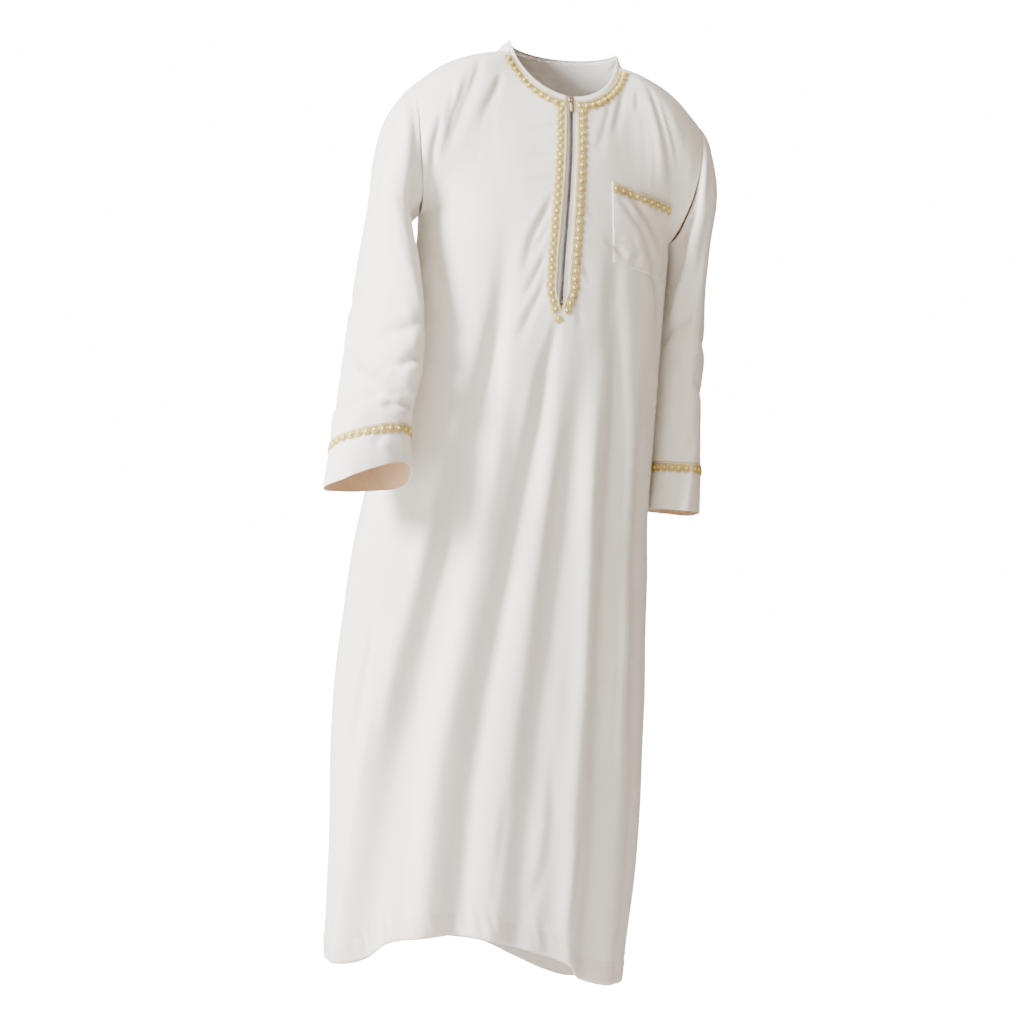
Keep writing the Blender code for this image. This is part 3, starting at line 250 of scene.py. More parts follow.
def hermite(
    p0: np.ndarray, m0: np.ndarray, p1: np.ndarray, m1: np.ndarray, t: np.ndarray
) -> np.ndarray:
    """Point of a cubic between p0 and p1 with end slopes m0 and m1.

    Args:
        p0: first point.
        m0: slope there.
        p1: last point.
        m1: slope there.
        t: share of the way.

    Returns:
        The point.
    """
    a = 2 * t ** 3 - 3 * t ** 2 + 1
    b = t ** 3 - 2 * t ** 2 + t
    c = -2 * t ** 3 + 3 * t ** 2
    d = t ** 3 - t ** 2
    return a * p0 + b * m0 + c * p1 + d * m1


def stack(x: np.ndarray, y: np.ndarray, z: np.ndarray) -> np.ndarray:
    """Join coordinates to points."""
    return np.stack(np.broadcast_arrays(x, y, z), axis=-1)


def unit(v: np.ndarray) -> np.ndarray:
    """Vectors of length 1."""
    return v / np.maximum(np.linalg.norm(v, axis=-1, keepdims=True), 1e-12)


def body_point(col: np.ndarray, z: np.ndarray, side: Side) -> np.ndarray:
    """Points of the smooth body below the arms.

    Args:
        col: column, -1 at the right side seam to 1 at the left.
        z: height.
        side: front or back.

    Returns:
        Points.
    """
    half, front, back, centre_x, side_x, mid_y = np.moveaxis(read_table(BODY_TABLE, z), -1, 0)
    sn, cs = np.sin(col * math.pi / 2), np.cos(col * math.pi / 2)
    shift = side_x if side is Side.BACK else centre_x * cs * cs + side_x * sn * sn
    depth = front if side is Side.FRONT else back
    x = shift + half * sn * (1 + SECTION_SQUARE * cs * cs)
    y = mid_y + side.value * depth * cs * (1 + SECTION_SQUARE * sn * sn)
    return stack(x, y, z)


def neck_point(angle: np.ndarray) -> np.ndarray:
    """Points of the neck seam; 0 degrees is the front, 180 the back.

    Args:
        angle: angles in degrees.

    Returns:
        Points.
    """
    a = np.radians(angle)
    sn, cs = np.sin(a), np.cos(a)
    front = cs >= 0
    lift = np.abs(cs) ** np.where(front, NECK_CURVE, 1.45)
    y = np.where(front, -NECK_FRONT * cs, -NECK_BACK * cs)
    z = NECK_SIDE_Z + (np.where(front, NECK_FRONT_Z, NECK_BACK_Z) - NECK_SIDE_Z) * lift
    return stack(NECK_HALF * sn, y, z)


def neck_rise(angle: np.ndarray) -> np.ndarray:
    """Steps from the neck seam to the open edge of the neck band.

    Args:
        angle: angles in degrees.

    Returns:
        The steps.
    """
    a = np.radians(angle)
    rise = 0.95 * np.sin(a) ** 2 + 1.15 * np.cos(a) ** 2
    wide = NECK_BAND + (NECK_BAND_FRONT - NECK_BAND) * np.maximum(np.cos(a), 0.0) ** 2
    return unit(stack(-np.sin(a), 0.85 * np.cos(a), rise)) * wide[..., None]


def arm_point(angle: np.ndarray, sign: np.ndarray) -> np.ndarray:
    """Points of the armhole seam; 0 is the top, 90 the front, 180 the underarm.

    Args:
        angle: angles in degrees.
        sign: -1 for the wearer's right, 1 for the left.

    Returns:
        Points.
    """
    a = np.radians(angle)
    sn, cs = np.sin(a), np.cos(a)
    x = ARM_TOP_X + (ARM_LOW_X - ARM_TOP_X) * (1 - cs) / 2 - ARM_HOLLOW * sn * sn
    return stack(SHOULDER_SHIFT + sign * x, ARM_MID_Y - ARM_HALF_Y * sn, ARM_MID_Z + ARM_HALF_Z * cs)


def top_point(col: np.ndarray, side: Side) -> np.ndarray:
    """Top edge of a panel: neck, then shoulder seam.

    Args:
        col: columns, -1 at the right side seam to 1 at the left.
        side: front or back.

    Returns:
        Points.
    """
    m, sign = np.abs(col), np.where(col >= 0, 1.0, -1.0)
    u = m / COL_NECK
    angle = NECK_SEAM_ANGLE * u if side is Side.FRONT else 180.0 - (180.0 - NECK_SEAM_ANGLE) * u
    neck = neck_point(angle)
    neck[..., 0] *= sign
    u = (m - COL_NECK) / (1.0 - COL_NECK)
    a = neck_point(np.array(NECK_SEAM_ANGLE))
    b = arm_point(np.array(ARM_SEAM_ANGLE), sign)
    ax = float(a[0])
    half = ax + (ARM_TOP_X - ax) * u
    line = read_table(RIDGE_TABLE, half)[..., 0] - SEAM_DROP
    start = a[2] - (read_table(RIDGE_TABLE, np.array(ax))[0] - SEAM_DROP)
    end = b[..., 2] - (read_table(RIDGE_TABLE, np.array(ARM_TOP_X))[0] - SEAM_DROP)
    z = line + start * (1 - u) ** 2 + end * u ** 2
    x = sign * ax + (b[..., 0] - sign * ax) * u
    y = a[1] + (b[..., 1] - a[1]) * u
    return np.where((m <= COL_NECK)[..., None], neck, stack(x, y, z))


def side_edge(v: np.ndarray, side: Side, sign: np.ndarray) -> np.ndarray:
    """Outer edge of a panel: armhole, then the side seam to the chest line.

    Args:
        v: share of the way down, 0 to 1.
        side: front or back.
        sign: -1 for the wearer's right, 1 for the left.

    Returns:
        Points.
    """
    u = np.minimum(v / ARM_SHARE, 1.0)
    if side is Side.FRONT:
        arm = arm_point(ARM_SEAM_ANGLE + (180.0 - ARM_SEAM_ANGLE) * u, sign)
    else:
        arm = arm_point(ARM_SEAM_ANGLE - (180.0 + ARM_SEAM_ANGLE) * u, sign)
    w = np.clip((v - ARM_SHARE) / (1.0 - ARM_SHARE), 0.0, 1.0)[..., None]
    chest = body_point(sign, np.full_like(v, CHEST_Z), side)
    return arm * (1 - w) + chest * w


def hang_point(col: np.ndarray, v: np.ndarray, side: Side) -> np.ndarray:
    """Column that hangs freely from the top edge to the chest line.

    Args:
        col: columns, -1 at the right side seam to 1 at the left.
        Tie a cloth piece to the frame and hide the solid that it stands for.
        side: front or back.

    Returns:
        Points.
    """
    sign = np.where(col >= 0, 1.0, -1.0)
    top = top_point(col, side)
    low = body_point(col, np.full_like(col, CHEST_Z), side)
    below = body_point(col, np.full_like(col, CHEST_Z - 0.01), side)
    row = read_table(FRONT_START if side is Side.FRONT else BACK_START, np.abs(col))
    start = unit(row[..., :3] * stack(sign, 1.0, 1.0))
    length = np.linalg.norm(low - top, axis=-1, keepdims=True)
    return hermite(top, start * length * row[..., 3:], low, unit(below - low) * length * 0.95, v[..., None])


def patch_point(col: np.ndarray, v: np.ndarray, side: Side) -> np.ndarray:
    """Upper panel before its corners are eased.

    Args:
        col: columns, -1 at the right side seam to 1 at the left.
        v: share of the way down, 0 to 1.
        side: front or back.

    Returns:
        Points.
    """
    sign = np.where(col >= 0, 1.0, -1.0)
    point = hang_point(col, v, side)
    share = np.clip((np.abs(col) - COL_NECK) / (1.0 - COL_NECK), 0.0, 1.0) ** ARM_EASE
    return point + share[..., None] * (side_edge(v, side, sign) - hang_point(sign, v, side))


def upper_point(col: np.ndarray, v: np.ndarray, side: Side) -> np.ndarray:
    """Points between the top edge (v 0) and the chest line (v 1), corners eased.

    Args:
        col: columns, -1 at the right side seam to 1 at the left.
        v: share of the way down, 0 to 1.
        side: front or back.

    Returns:
        Points.
    """
    ease = soft_step(0.0, EASE_DEPTH, v) * soft_step(0.0, EASE_FOOT, 1.0 - v)
    reach = EASE_REACH * ease * np.minimum(1.0, (1.0 - np.abs(col)) / EASE_REACH)
    return sum(weight * patch_point(col + reach * step, v, side) for step, weight in EASE_KERNEL)


def hem_height(col: np.ndarray, side: Side) -> np.ndarray:
    """Height of the lower edge at a column."""
    return read_table(FRONT_HEM if side is Side.FRONT else BACK_HEM, col)[..., 0]


def fold_move(col: np.ndarray, z: np.ndarray, folds: tuple) -> np.ndarray:
    """How far the folds of the skirt move the cloth outward.

    Args:
        col: columns.
        z: heights.
        folds: rows of a fold table.

    Returns:
        Distance along the normal.
    """
    total = np.zeros_like(z)
    for row in folds:
        z_top, width_top, width_low, depth = row[5:]
        at = read_table(tuple(zip(FOLD_HEIGHTS, row[:5])), z)[..., 0]
        width = width_top + (width_low - width_top) * soft_step(z_top, -1.40, z)
        grow = soft_step(z_top + 0.10, z_top - 0.22, z)
        total += depth * grow * np.exp(-((col - at) / width) ** 2)
    return total * soft_step(1.0, 0.90, np.abs(col))


@dataclass(frozen=True)
class Crease:
    """A soft trough or ridge drawn on the cloth.

    Attributes:
        plane: side from which it is laid down.
        path: points as (across, height) in metres.
        width: half width of the trough.
        depth: distance along the normal, negative for a trough.
        lip: height of the ridge beside it as a share of the depth.
    """

    plane: Plane
    path: tuple
    width: float
    depth: float
    lip: float = 0.35

    def move(self, points: np.ndarray, normals: np.ndarray) -> np.ndarray:
        """Distance along the normal that the crease gives to each point.

        Args:
            points: points of the cloth.
            normals: unit normals there.

        Returns:
            The distances.
        """
        axis, normal_axis, sign = self.plane.value
        flat = points[..., (axis, 2)]
        line = np.array(self.path, dtype=float)
        lengths = np.linalg.norm(np.diff(line, axis=0), axis=1)
        marks = np.concatenate([[0.0], np.cumsum(lengths)])
        best = np.full(flat.shape[:-1], np.inf)
        signed = np.zeros_like(best)
        along = np.zeros_like(best)
        for k, length in enumerate(lengths):
            run = (line[k + 1] - line[k]) / length
            rel = flat - line[k]
            low = -0.5 * length if k == 0 else 0.0
            high = 1.5 * length if k == len(lengths) - 1 else length
            t = np.clip(rel @ run, low, high)
            off = rel - t[..., None] * run
            dist = np.linalg.norm(off, axis=-1)
            closer = dist < best
            best = np.where(closer, dist, best)
            signed = np.where(closer, off[..., 0] * run[1] - off[..., 1] * run[0], signed)
            along = np.where(closer, marks[k] + t, along)
        share = along / marks[-1]
        fade = soft_step(-0.25, 0.22, share) * soft_step(1.30, 0.70, share)
        facing = soft_step(0.10, 0.45, normals[..., normal_axis] * sign)
        width = self.width * (0.75 + 0.5 * np.clip(share, 0.0, 1.0))
        steep = np.where(signed > 0, 0.72, 1.25) * width
        trough = np.exp(-(best / steep) ** 2)
        ridge = np.exp(-((signed - 2.0 * width) / (1.1 * width)) ** 2)
        return (self.depth * trough - self.depth * self.lip * ridge) * fade * facing


F, B, R, L = Plane.FRONT, Plane.BACK, Plane.RIGHT, Plane.LEFT
BODY_CREASES = (
    Crease(F, ((-0.180, -0.094), (-0.189, -0.150)), 0.0060, -0.0022),
    Crease(F, ((-0.140, -0.045), (-0.162, -0.110), (-0.179, -0.174)), 0.0085, -0.0042),
    Crease(F, ((-0.109, -0.062), (-0.134, -0.126)), 0.0065, -0.0028),
    Crease(F, ((-0.160, -0.070), (-0.178, -0.130), (-0.186, -0.175)), 0.0060, -0.0030),
    Crease(F, ((-0.198, -0.140), (-0.204, -0.185), (-0.200, -0.240)), 0.0065, -0.0044),
    Crease(F, ((0.133, -0.060), (0.147, -0.109), (0.170, -0.196)), 0.0060, -0.0036),
    Crease(F, ((0.150, -0.075), (0.168, -0.130), (0.178, -0.170)), 0.0070, -0.0022),
    Crease(F, ((0.108, -0.055), (0.106, -0.085)), 0.0040, -0.0013),
    Crease(F, ((0.083, -0.065), (0.068, -0.125)), 0.0055, -0.0020),
    Crease(F, ((0.062, -0.085), (0.044, -0.150)), 0.0050, -0.0014),
    Crease(F, ((-0.026, -0.130), (-0.064, -0.138)), 0.0038, -0.0016),
    Crease(F, ((-0.026, -0.160), (-0.055, -0.163)), 0.0032, -0.0010),
    Crease(F, ((-0.026, -0.175), (-0.066, -0.182)), 0.0040, -0.0018),
    Crease(F, ((-0.026, -0.189), (-0.062, -0.193)), 0.0030, -0.0012),
    Crease(F, ((-0.026, -0.210), (-0.064, -0.219)), 0.0040, -0.0018),
    Crease(F, ((-0.026, -0.224), (-0.060, -0.233)), 0.0035, -0.0014),
    Crease(F, ((-0.028, -0.246), (-0.049, -0.300), (-0.056, -0.345)), 0.0060, -0.0034),
    Crease(F, ((-0.028, -0.284), (-0.043, -0.320)), 0.0036, -0.0018),
    Crease(F, ((-0.030, -0.330), (-0.050, -0.385)), 0.0050, -0.0028),
    Crease(F, ((-0.027, -0.372), (-0.042, -0.412), (-0.055, -0.450)), 0.0055, -0.0032),
    Crease(F, ((-0.024, -0.352), (-0.034, -0.372)), 0.0030, -0.0014),
    Crease(F, ((0.027, -0.150), (0.046, -0.154)), 0.0032, -0.0008),
    Crease(F, ((0.027, -0.245), (0.043, -0.262)), 0.0036, -0.0010),
    Crease(F, ((0.028, -0.330), (0.046, -0.356)), 0.0040, -0.0014),
    Crease(F, ((0.026, -0.385), (0.036, -0.424)), 0.0042, -0.0016),
    Crease(F, ((-0.002, -0.430), (-0.010, -0.500), (-0.014, -0.600)), 0.0085, -0.0040),
    Crease(F, ((0.105, -0.226), (0.135, -0.250), (0.168, -0.290)), 0.0070, -0.0046),
    Crease(F, ((0.120, -0.262), (0.146, -0.312)), 0.0060, -0.0022),
    Crease(F, ((0.066, -0.294), (0.094, -0.309)), 0.0045, -0.0020),
    Crease(F, ((0.150, -0.318), (0.172, -0.372), (0.180, -0.450)), 0.0100, -0.0052),
    Crease(F, ((-0.190, -0.330), (-0.150, -0.430), (-0.118, -0.560)), 0.0120, -0.0030),
    Crease(F, ((0.096, -0.380), (0.090, -0.470), (0.100, -0.600)), 0.0110, 0.0026),
    Crease(F, ((-0.014, -1.150), (-0.018, -1.300)), 0.0090, -0.0022),
    Crease(
        F, ((0.056, -1.110), (0.061, -1.170), (0.058, -1.230), (0.045, -1.280), (0.022, -1.320)),
        0.0090, -0.0020,
    ),
    Crease(F, ((-0.110, -0.640), (-0.122, -0.780), (-0.150, -0.960)), 0.0120, 0.0040),
    Crease(F, ((0.026, -0.660), (0.020, -0.860), (0.012, -1.060)), 0.0090, -0.0034),
    Crease(F, ((0.150, -0.560), (0.158, -0.760), (0.176, -0.980)), 0.0110, -0.0036),
    Crease(F, ((-0.205, -0.980), (-0.214, -1.160), (-0.222, -1.330)), 0.0100, -0.0034),
    Crease(F, ((0.196, -1.080), (0.204, -1.240), (0.206, -1.360)), 0.0100, -0.0030),
    Crease(F, ((0.112, -1.200), (0.108, -1.340)), 0.0080, -0.0030),
    Crease(F, ((-0.226, -0.925), (-0.231, -1.000), (-0.234, -1.078)), 0.0042, -0.0034, 0.6),
    Crease(B, ((-0.185, -0.130), (-0.150, -0.200), (-0.120, -0.290)), 0.0100, -0.0034),
    Crease(B, ((-0.192, -0.190), (-0.165, -0.260)), 0.0070, -0.0022),
    Crease(B, ((0.180, -0.120), (0.148, -0.190), (0.125, -0.300)), 0.0100, -0.0036),
    Crease(B, ((0.188, -0.200), (0.168, -0.280)), 0.0070, -0.0020),
    Crease(B, ((-0.060, -0.040), (-0.090, -0.120)), 0.0080, -0.0020),
    Crease(B, ((0.055, -0.045), (0.088, -0.130)), 0.0080, -0.0018),
    Crease(B, ((-0.100, -0.420), (-0.020, -0.450), (0.080, -0.430)), 0.0130, -0.0026),
    Crease(B, ((-0.150, -0.520), (-0.060, -0.560)), 0.0110, -0.0022),
    Crease(B, ((0.140, -0.500), (0.060, -0.545)), 0.0110, -0.0022),
    Crease(B, ((-0.140, -0.660), (-0.150, -0.860), (-0.175, -1.100)), 0.0110, -0.0040),
    Crease(B, ((-0.040, -0.700), (-0.035, -0.950), (-0.045, -1.200)), 0.0110, 0.0036),
    Crease(B, ((0.075, -0.680), (0.085, -0.900), (0.080, -1.150)), 0.0100, -0.0038),
    Crease(B, ((0.165, -0.760), (0.180, -1.000), (0.190, -1.250)), 0.0110, -0.0036),
    Crease(B, ((-0.090, -1.060), (-0.085, -1.230), (-0.095, -1.340)), 0.0090, -0.0036),
    Crease(B, ((0.020, -1.100), (0.012, -1.330)), 0.0090, -0.0030),
    Crease(R, ((-0.040, -0.420), (-0.010, -0.560), (0.010, -0.720)), 0.0100, -0.0030),
    Crease(R, ((0.040, -0.640), (0.052, -0.900), (0.045, -1.180)), 0.0110, -0.0034),
    Crease(L, ((-0.050, -0.430), (-0.015, -0.580), (0.015, -0.760)), 0.0100, -0.0030),
    Crease(L, ((0.045, -0.700), (0.060, -0.950), (0.050, -1.220)), 0.0110, -0.0034),
)
SLEEVE_CREASES = (
    Crease(F, ((-0.205, -0.445), (-0.240, -0.464), (-0.298, -0.490)), 0.0120, -0.0062),
    Crease(F, ((-0.300, -0.505), (-0.285, -0.535), (-0.250, -0.548), (-0.215, -0.545)), 0.0085, 0.0060),
    Crease(F, ((-0.234, -0.5135), (-0.216, -0.505), (-0.196, -0.500)), 0.0085, -0.0085),
    Crease(F, ((-0.264, -0.535), (-0.250, -0.518), (-0.238, -0.520)), 0.0055, -0.0036),
    Crease(
        F, ((-0.3067, -0.5947), (-0.288, -0.570), (-0.2676, -0.5600), (-0.2323, -0.5560)), 0.0105, -0.0075
    ),
    Crease(F, ((-0.2521, -0.5746), (-0.232, -0.573), (-0.206, -0.572)), 0.0075, -0.0078),
    Crease(F, ((-0.222, -0.557), (-0.208, -0.555)), 0.0045, 0.0036),
    Crease(F, ((-0.264, -0.634), (-0.250, -0.618)), 0.0060, -0.0030),
    Crease(F, ((-0.236, -0.118), (-0.226, -0.235), (-0.214, -0.340)), 0.0080, -0.0036),
    Crease(F, ((-0.268, -0.150), (-0.280, -0.280), (-0.288, -0.420)), 0.0120, -0.0036),
    Crease(
        F, ((0.2225, -0.160), (0.2220, -0.233), (0.2120, -0.358), (0.2010, -0.430), (0.1900, -0.493)),
        0.0080, 0.0090, 0.7,
    ),
    Crease(F, ((0.2330, -0.250), (0.2240, -0.350), (0.2120, -0.440)), 0.0100, -0.0040),
    Crease(F, ((0.256, -0.200), (0.258, -0.320), (0.254, -0.450)), 0.0090, -0.0036),
    Crease(F, ((0.222, -0.470), (0.230, -0.560), (0.226, -0.640)), 0.0100, -0.0036),
    Crease(F, ((0.262, -0.560), (0.250, -0.620), (0.246, -0.690)), 0.0080, 0.0030),
    Crease(B, ((-0.300, -0.450), (-0.262, -0.470), (-0.226, -0.500)), 0.0100, -0.0040),
    Crease(B, ((-0.302, -0.500), (-0.262, -0.530), (-0.230, -0.540)), 0.0090, -0.0036),
    Crease(B, ((-0.270, -0.160), (-0.262, -0.300)), 0.0110, -0.0034),
    Crease(B, ((-0.238, -0.150), (-0.232, -0.260)), 0.0090, -0.0028),
    Crease(B, ((0.200, -0.440), (0.228, -0.470), (0.262, -0.480)), 0.0095, -0.0038),
    Crease(B, ((0.204, -0.500), (0.232, -0.535), (0.262, -0.560)), 0.0090, -0.0034),
    Crease(B, ((0.240, -0.150), (0.236, -0.300)), 0.0110, -0.0032),
    Crease(R, ((-0.060, -0.380), (0.000, -0.420), (0.030, -0.440)), 0.0110, -0.0040),
    Crease(R, ((-0.090, -0.460), (-0.030, -0.500)), 0.0100, -0.0036),
    Crease(R, ((-0.030, -0.140), (-0.040, -0.260), (-0.050, -0.340)), 0.0120, -0.0034),
    Crease(R, ((0.040, -0.130), (0.036, -0.250)), 0.0110, -0.0030),
    Crease(R, ((-0.110, -0.560), (-0.070, -0.590)), 0.0080, -0.0026),
    Crease(L, ((-0.040, -0.410), (0.010, -0.440), (0.040, -0.430)), 0.0110, -0.0040),
    Crease(L, ((-0.050, -0.480), (0.000, -0.520), (0.040, -0.530)), 0.0100, -0.0036),
    Crease(L, ((-0.036, -0.140), (-0.030, -0.270), (-0.020, -0.350)), 0.0120, -0.0032),
    Crease(L, ((0.034, -0.130), (0.030, -0.260)), 0.0110, -0.0028),
)


def ripple(
    u: np.ndarray, v: np.ndarray, seed: int, long: float, short: float, count: int = 9
) -> np.ndarray:
    """Soft uneven waves.

    Args:
        u: distance across the threads.
        v: distance along the threads.
        seed: fixed number that sets the waves.
        long: longest wave along v.
        short: shortest wave across u.
        count: number of waves.

    Returns:
        Values of about -1 to 1.
    """
    rng = np.random.default_rng(seed)
    total = np.zeros(np.broadcast(u, v).shape)
    for _ in range(count):
        wave_u = short * rng.uniform(1.0, 2.6)
        wave_v = long * rng.uniform(0.5, 1.2)
        lean = rng.uniform(-1.0, 1.0)
        phase = rng.uniform(0.0, 2 * math.pi)
        total += np.sin(2 * math.pi * (u / wave_u + lean * v / wave_v) + phase) * rng.uniform(0.5, 1.0)
    return total / math.sqrt(count)


class NodeBuilder:
    """Places and joins shader nodes in one tree."""

    def __init__(self, tree: bpy.types.NodeTree) -> None:
        """Keep the tree.

        Args:
            tree: node tree to fill.
        """
        self.tree = tree

    def add(self, kind: str, **values: object) -> bpy.types.Node:
        """Add a node and set its named properties.

        Args:
            kind: type of the node.
            values: its named properties.

        Returns:
            The node.
        """
        node = self.tree.nodes.new(kind)
        for name, value in values.items():
            setattr(node, name, value)
        return node

    def join(self, source: bpy.types.NodeSocket, target: bpy.types.NodeSocket) -> None:
        """Join two sockets."""
        self.tree.links.new(source, target)

    def math(self, operation: str, a: object, b: object = 0.0) -> bpy.types.NodeSocket:
        """Add a math node; a and b are sockets or numbers.

        Args:
            operation: what it works out.
            a: first socket or number.
            b: second socket or number.

        Returns:
            Its output socket.
        """
        node = self.add("ShaderNodeMath", operation=operation)
        for socket, value in zip(node.inputs, (a, b)):
            if isinstance(value, bpy.types.NodeSocket):
                self.join(value, socket)
            else:
                socket.default_value = value
        return node.outputs[0]

    def blend(
        self, deep: tuple, light: tuple, share: bpy.types.NodeSocket, target: bpy.types.NodeSocket
    ) -> None:
        """Blend two colours and lead the result to a socket.

        Args:
            deep: colour at share 0.
            light: colour at share 1.
            share: socket with the share.
            target: socket that takes the colour.
        """
        mix = self.add("ShaderNodeMix", data_type="RGBA")
        mix.inputs["A"].default_value = (*deep, 1.0)
        mix.inputs["B"].default_value = (*light, 1.0)
        self.join(share, mix.inputs["Factor"])
        self.join(mix.outputs["Result"], target)

    def relief(self, height: bpy.types.NodeSocket, shader: bpy.types.Node) -> None:
        """Lead a height in metres to the normal of a shader.

        Args:
            height: socket with the height.
            shader: shader of the material.
        """
        bump = self.add("ShaderNodeBump")
        bump.inputs["Distance"].default_value = 1.0
        bump.inputs["Strength"].default_value = 1.0
        self.join(height, bump.inputs["Height"])
        self.join(bump.outputs["Normal"], shader.inputs["Normal"])


def new_material(name: str) -> tuple[bpy.types.Material, NodeBuilder, bpy.types.Node]:
    """Start a material.

    Args:
        name: its name.

    Returns:
        The material, the builder of its nodes and its shader.
    """
    mat = bpy.data.materials.new(name)
    mat.use_nodes = True
    return mat, NodeBuilder(mat.node_tree), mat.node_tree.nodes["Principled BSDF"]


def new_group(name: str, setting: str, value: float, outputs: tuple[str, ...]) -> bpy.types.NodeTree:
    """Start a shader group that reads a vector and one number.

    Args:
        name: name of the group.
        setting: name of the number.
        value: its default.
        outputs: names of the values that the group puts out.

    Returns:
        The group with its sockets.
    """
    tree = bpy.data.node_groups.new(name, "ShaderNodeTree")
    face = tree.interface
    face.new_socket("Vector", in_out="INPUT", socket_type="NodeSocketVector")
    face.new_socket(setting, in_out="INPUT", socket_type="NodeSocketFloat").default_value = value
    for output in outputs:
        face.new_socket(output, in_out="OUTPUT", socket_type="NodeSocketFloat")
    return tree


def weave_group() -> bpy.types.NodeTree:
    """Shader group of a plain weave: height of the threads and their slight unevenness.

    Returns:
        The group, built once.
    """
    found = bpy.data.node_groups.get("plain_weave")
    if found:
        return found
    tree = new_group("plain_weave", "Threads", 2600.0, ("Height", "Slub", "Crumple"))
    nb = NodeBuilder(tree)
    inp, out = nb.add("NodeGroupInput"), nb.add("NodeGroupOutput")
    split = nb.add("ShaderNodeSeparateXYZ")
    nb.join(inp.outputs["Vector"], split.inputs[0])
    turns = nb.math("MULTIPLY", inp.outputs["Threads"], 2 * math.pi)
    warp = nb.math("SINE", nb.math("MULTIPLY", split.outputs["X"], turns))
    weft = nb.math("SINE", nb.math("MULTIPLY", split.outputs["Y"], turns))
    nb.join(nb.math("MULTIPLY", warp, weft), out.inputs["Height"])
    slub = slub_noise(nb, inp.outputs["Vector"], (900.0, 26.0, 1.0))
    cross = slub_noise(nb, inp.outputs["Vector"], (22.0, 800.0, 1.0))
    nb.join(nb.math("MULTIPLY", nb.math("ADD", slub, cross), 0.5), out.inputs["Slub"])
    nb.join(slub_noise(nb, inp.outputs["Vector"], (42.0, 24.0, 1.0), 3.0), out.inputs["Crumple"])
    return tree


def slub_noise(
    nb: NodeBuilder, vector: bpy.types.NodeSocket, scale: tuple[float, float, float], detail: float = 1.0
) -> bpy.types.NodeSocket:
    """Stretched noise on the cloth's own coordinates.

    Args:
        nb: builder of the tree.
        vector: coordinates in metres.
        scale: cells per metre along each axis.
        detail: layers of noise.

    Returns:
        Value socket.
    """
    mapping = nb.add("ShaderNodeMapping")
    mapping.inputs["Scale"].default_value = scale
    nb.join(vector, mapping.inputs["Vector"])
    noise = nb.add("ShaderNodeTexNoise")
    noise.inputs["Scale"].default_value = 1.0
    noise.inputs["Detail"].default_value = detail
    nb.join(mapping.outputs["Vector"], noise.inputs["Vector"])
    return noise.outputs["Fac"]


def twist_group() -> bpy.types.NodeTree:
    """Shader group of a twisted or wound thread: slanting ridges along its length.

    Returns:
        The group, built once.
    """
    found = bpy.data.node_groups.get("wound_thread")
    if found:
        return found
    tree = new_group("wound_thread", "Ridges", 1100.0, ("Height", "Patch"))
    nb = NodeBuilder(tree)
    inp, out = nb.add("NodeGroupInput"), nb.add("NodeGroupOutput")
    split = nb.add("ShaderNodeSeparateXYZ")
    nb.join(inp.outputs["Vector"], split.inputs[0])
    slant = nb.math("ADD", nb.math("ADD", split.outputs["X"], split.outputs["Y"]), split.outputs["Z"])
    turns = nb.math("MULTIPLY", inp.outputs["Ridges"], 2 * math.pi)
    wave = nb.math("SINE", nb.math("MULTIPLY", slant, turns))
    nb.join(nb.math("MULTIPLY", nb.math("ADD", wave, 1.0), 0.5), out.inputs["Height"])
    nb.join(slub_noise(nb, inp.outputs["Vector"], (420.0, 420.0, 420.0), 2.0), out.inputs["Patch"])
    return tree


@dataclass(frozen=True)
class ClothFinish:
    """Woven cloth.

    Attributes:
        name: material name.
        light: colour of the threads at their palest; also painted light on the tops of small creases.
        deep: colour of the threads at their fullest; also painted shade in the hollows of small creases.
        threads: threads per metre.
        weave: height of the weave.
        crumple: height of small creases.
        sheen: weight of the soft edge light.
        roughness: roughness of the cloth.
    """

    name: str
    light: tuple[float, float, float]
    deep: tuple[float, float, float]
    threads: float = 2600.0
    weave: float = 0.00006
    crumple: float = 0.00035
    sheen: float = 0.12
    roughness: float = 0.62

    def material(self) -> bpy.types.Material:
        """Build the material once and return it.

        Returns:
            The material.
        """
        found = bpy.data.materials.get(self.name)
        if found:
            return found
        mat, nb, shader = new_material(self.name)
        uv = nb.add("ShaderNodeUVMap", uv_map="cloth")
        group = nb.add("ShaderNodeGroup", node_tree=weave_group())
        group.inputs["Threads"].default_value = self.threads
        nb.join(uv.outputs["UV"], group.inputs["Vector"])
        # colour: the slub noise is the threads' own uneven tone; the crumple noise, which also raises the
        # small creases, paints them paler on top and deeper in their hollows as painted light and shade
        tone_and_hollow_shade = nb.math("ADD", nb.math("MULTIPLY", group.outputs["Slub"], 0.7),
                       nb.math("MULTIPLY", group.outputs["Crumple"], 0.45))
        nb.blend(self.deep, self.light, tone_and_hollow_shade, shader.inputs["Base Color"])
        height = nb.math("ADD", nb.math("MULTIPLY", group.outputs["Height"], self.weave),
                         nb.math("MULTIPLY", group.outputs["Slub"], self.weave * 1.6))
        height = nb.math("ADD", height, nb.math("MULTIPLY", group.outputs["Crumple"], self.crumple))
        nb.relief(height, shader)
        shader.inputs["Roughness"].default_value = self.roughness
        shader.inputs["Specular IOR Level"].default_value = 0.32
        shader.inputs["Sheen Weight"].default_value = self.sheen
        shader.inputs["Sheen Roughness"].default_value = 0.35
        return mat


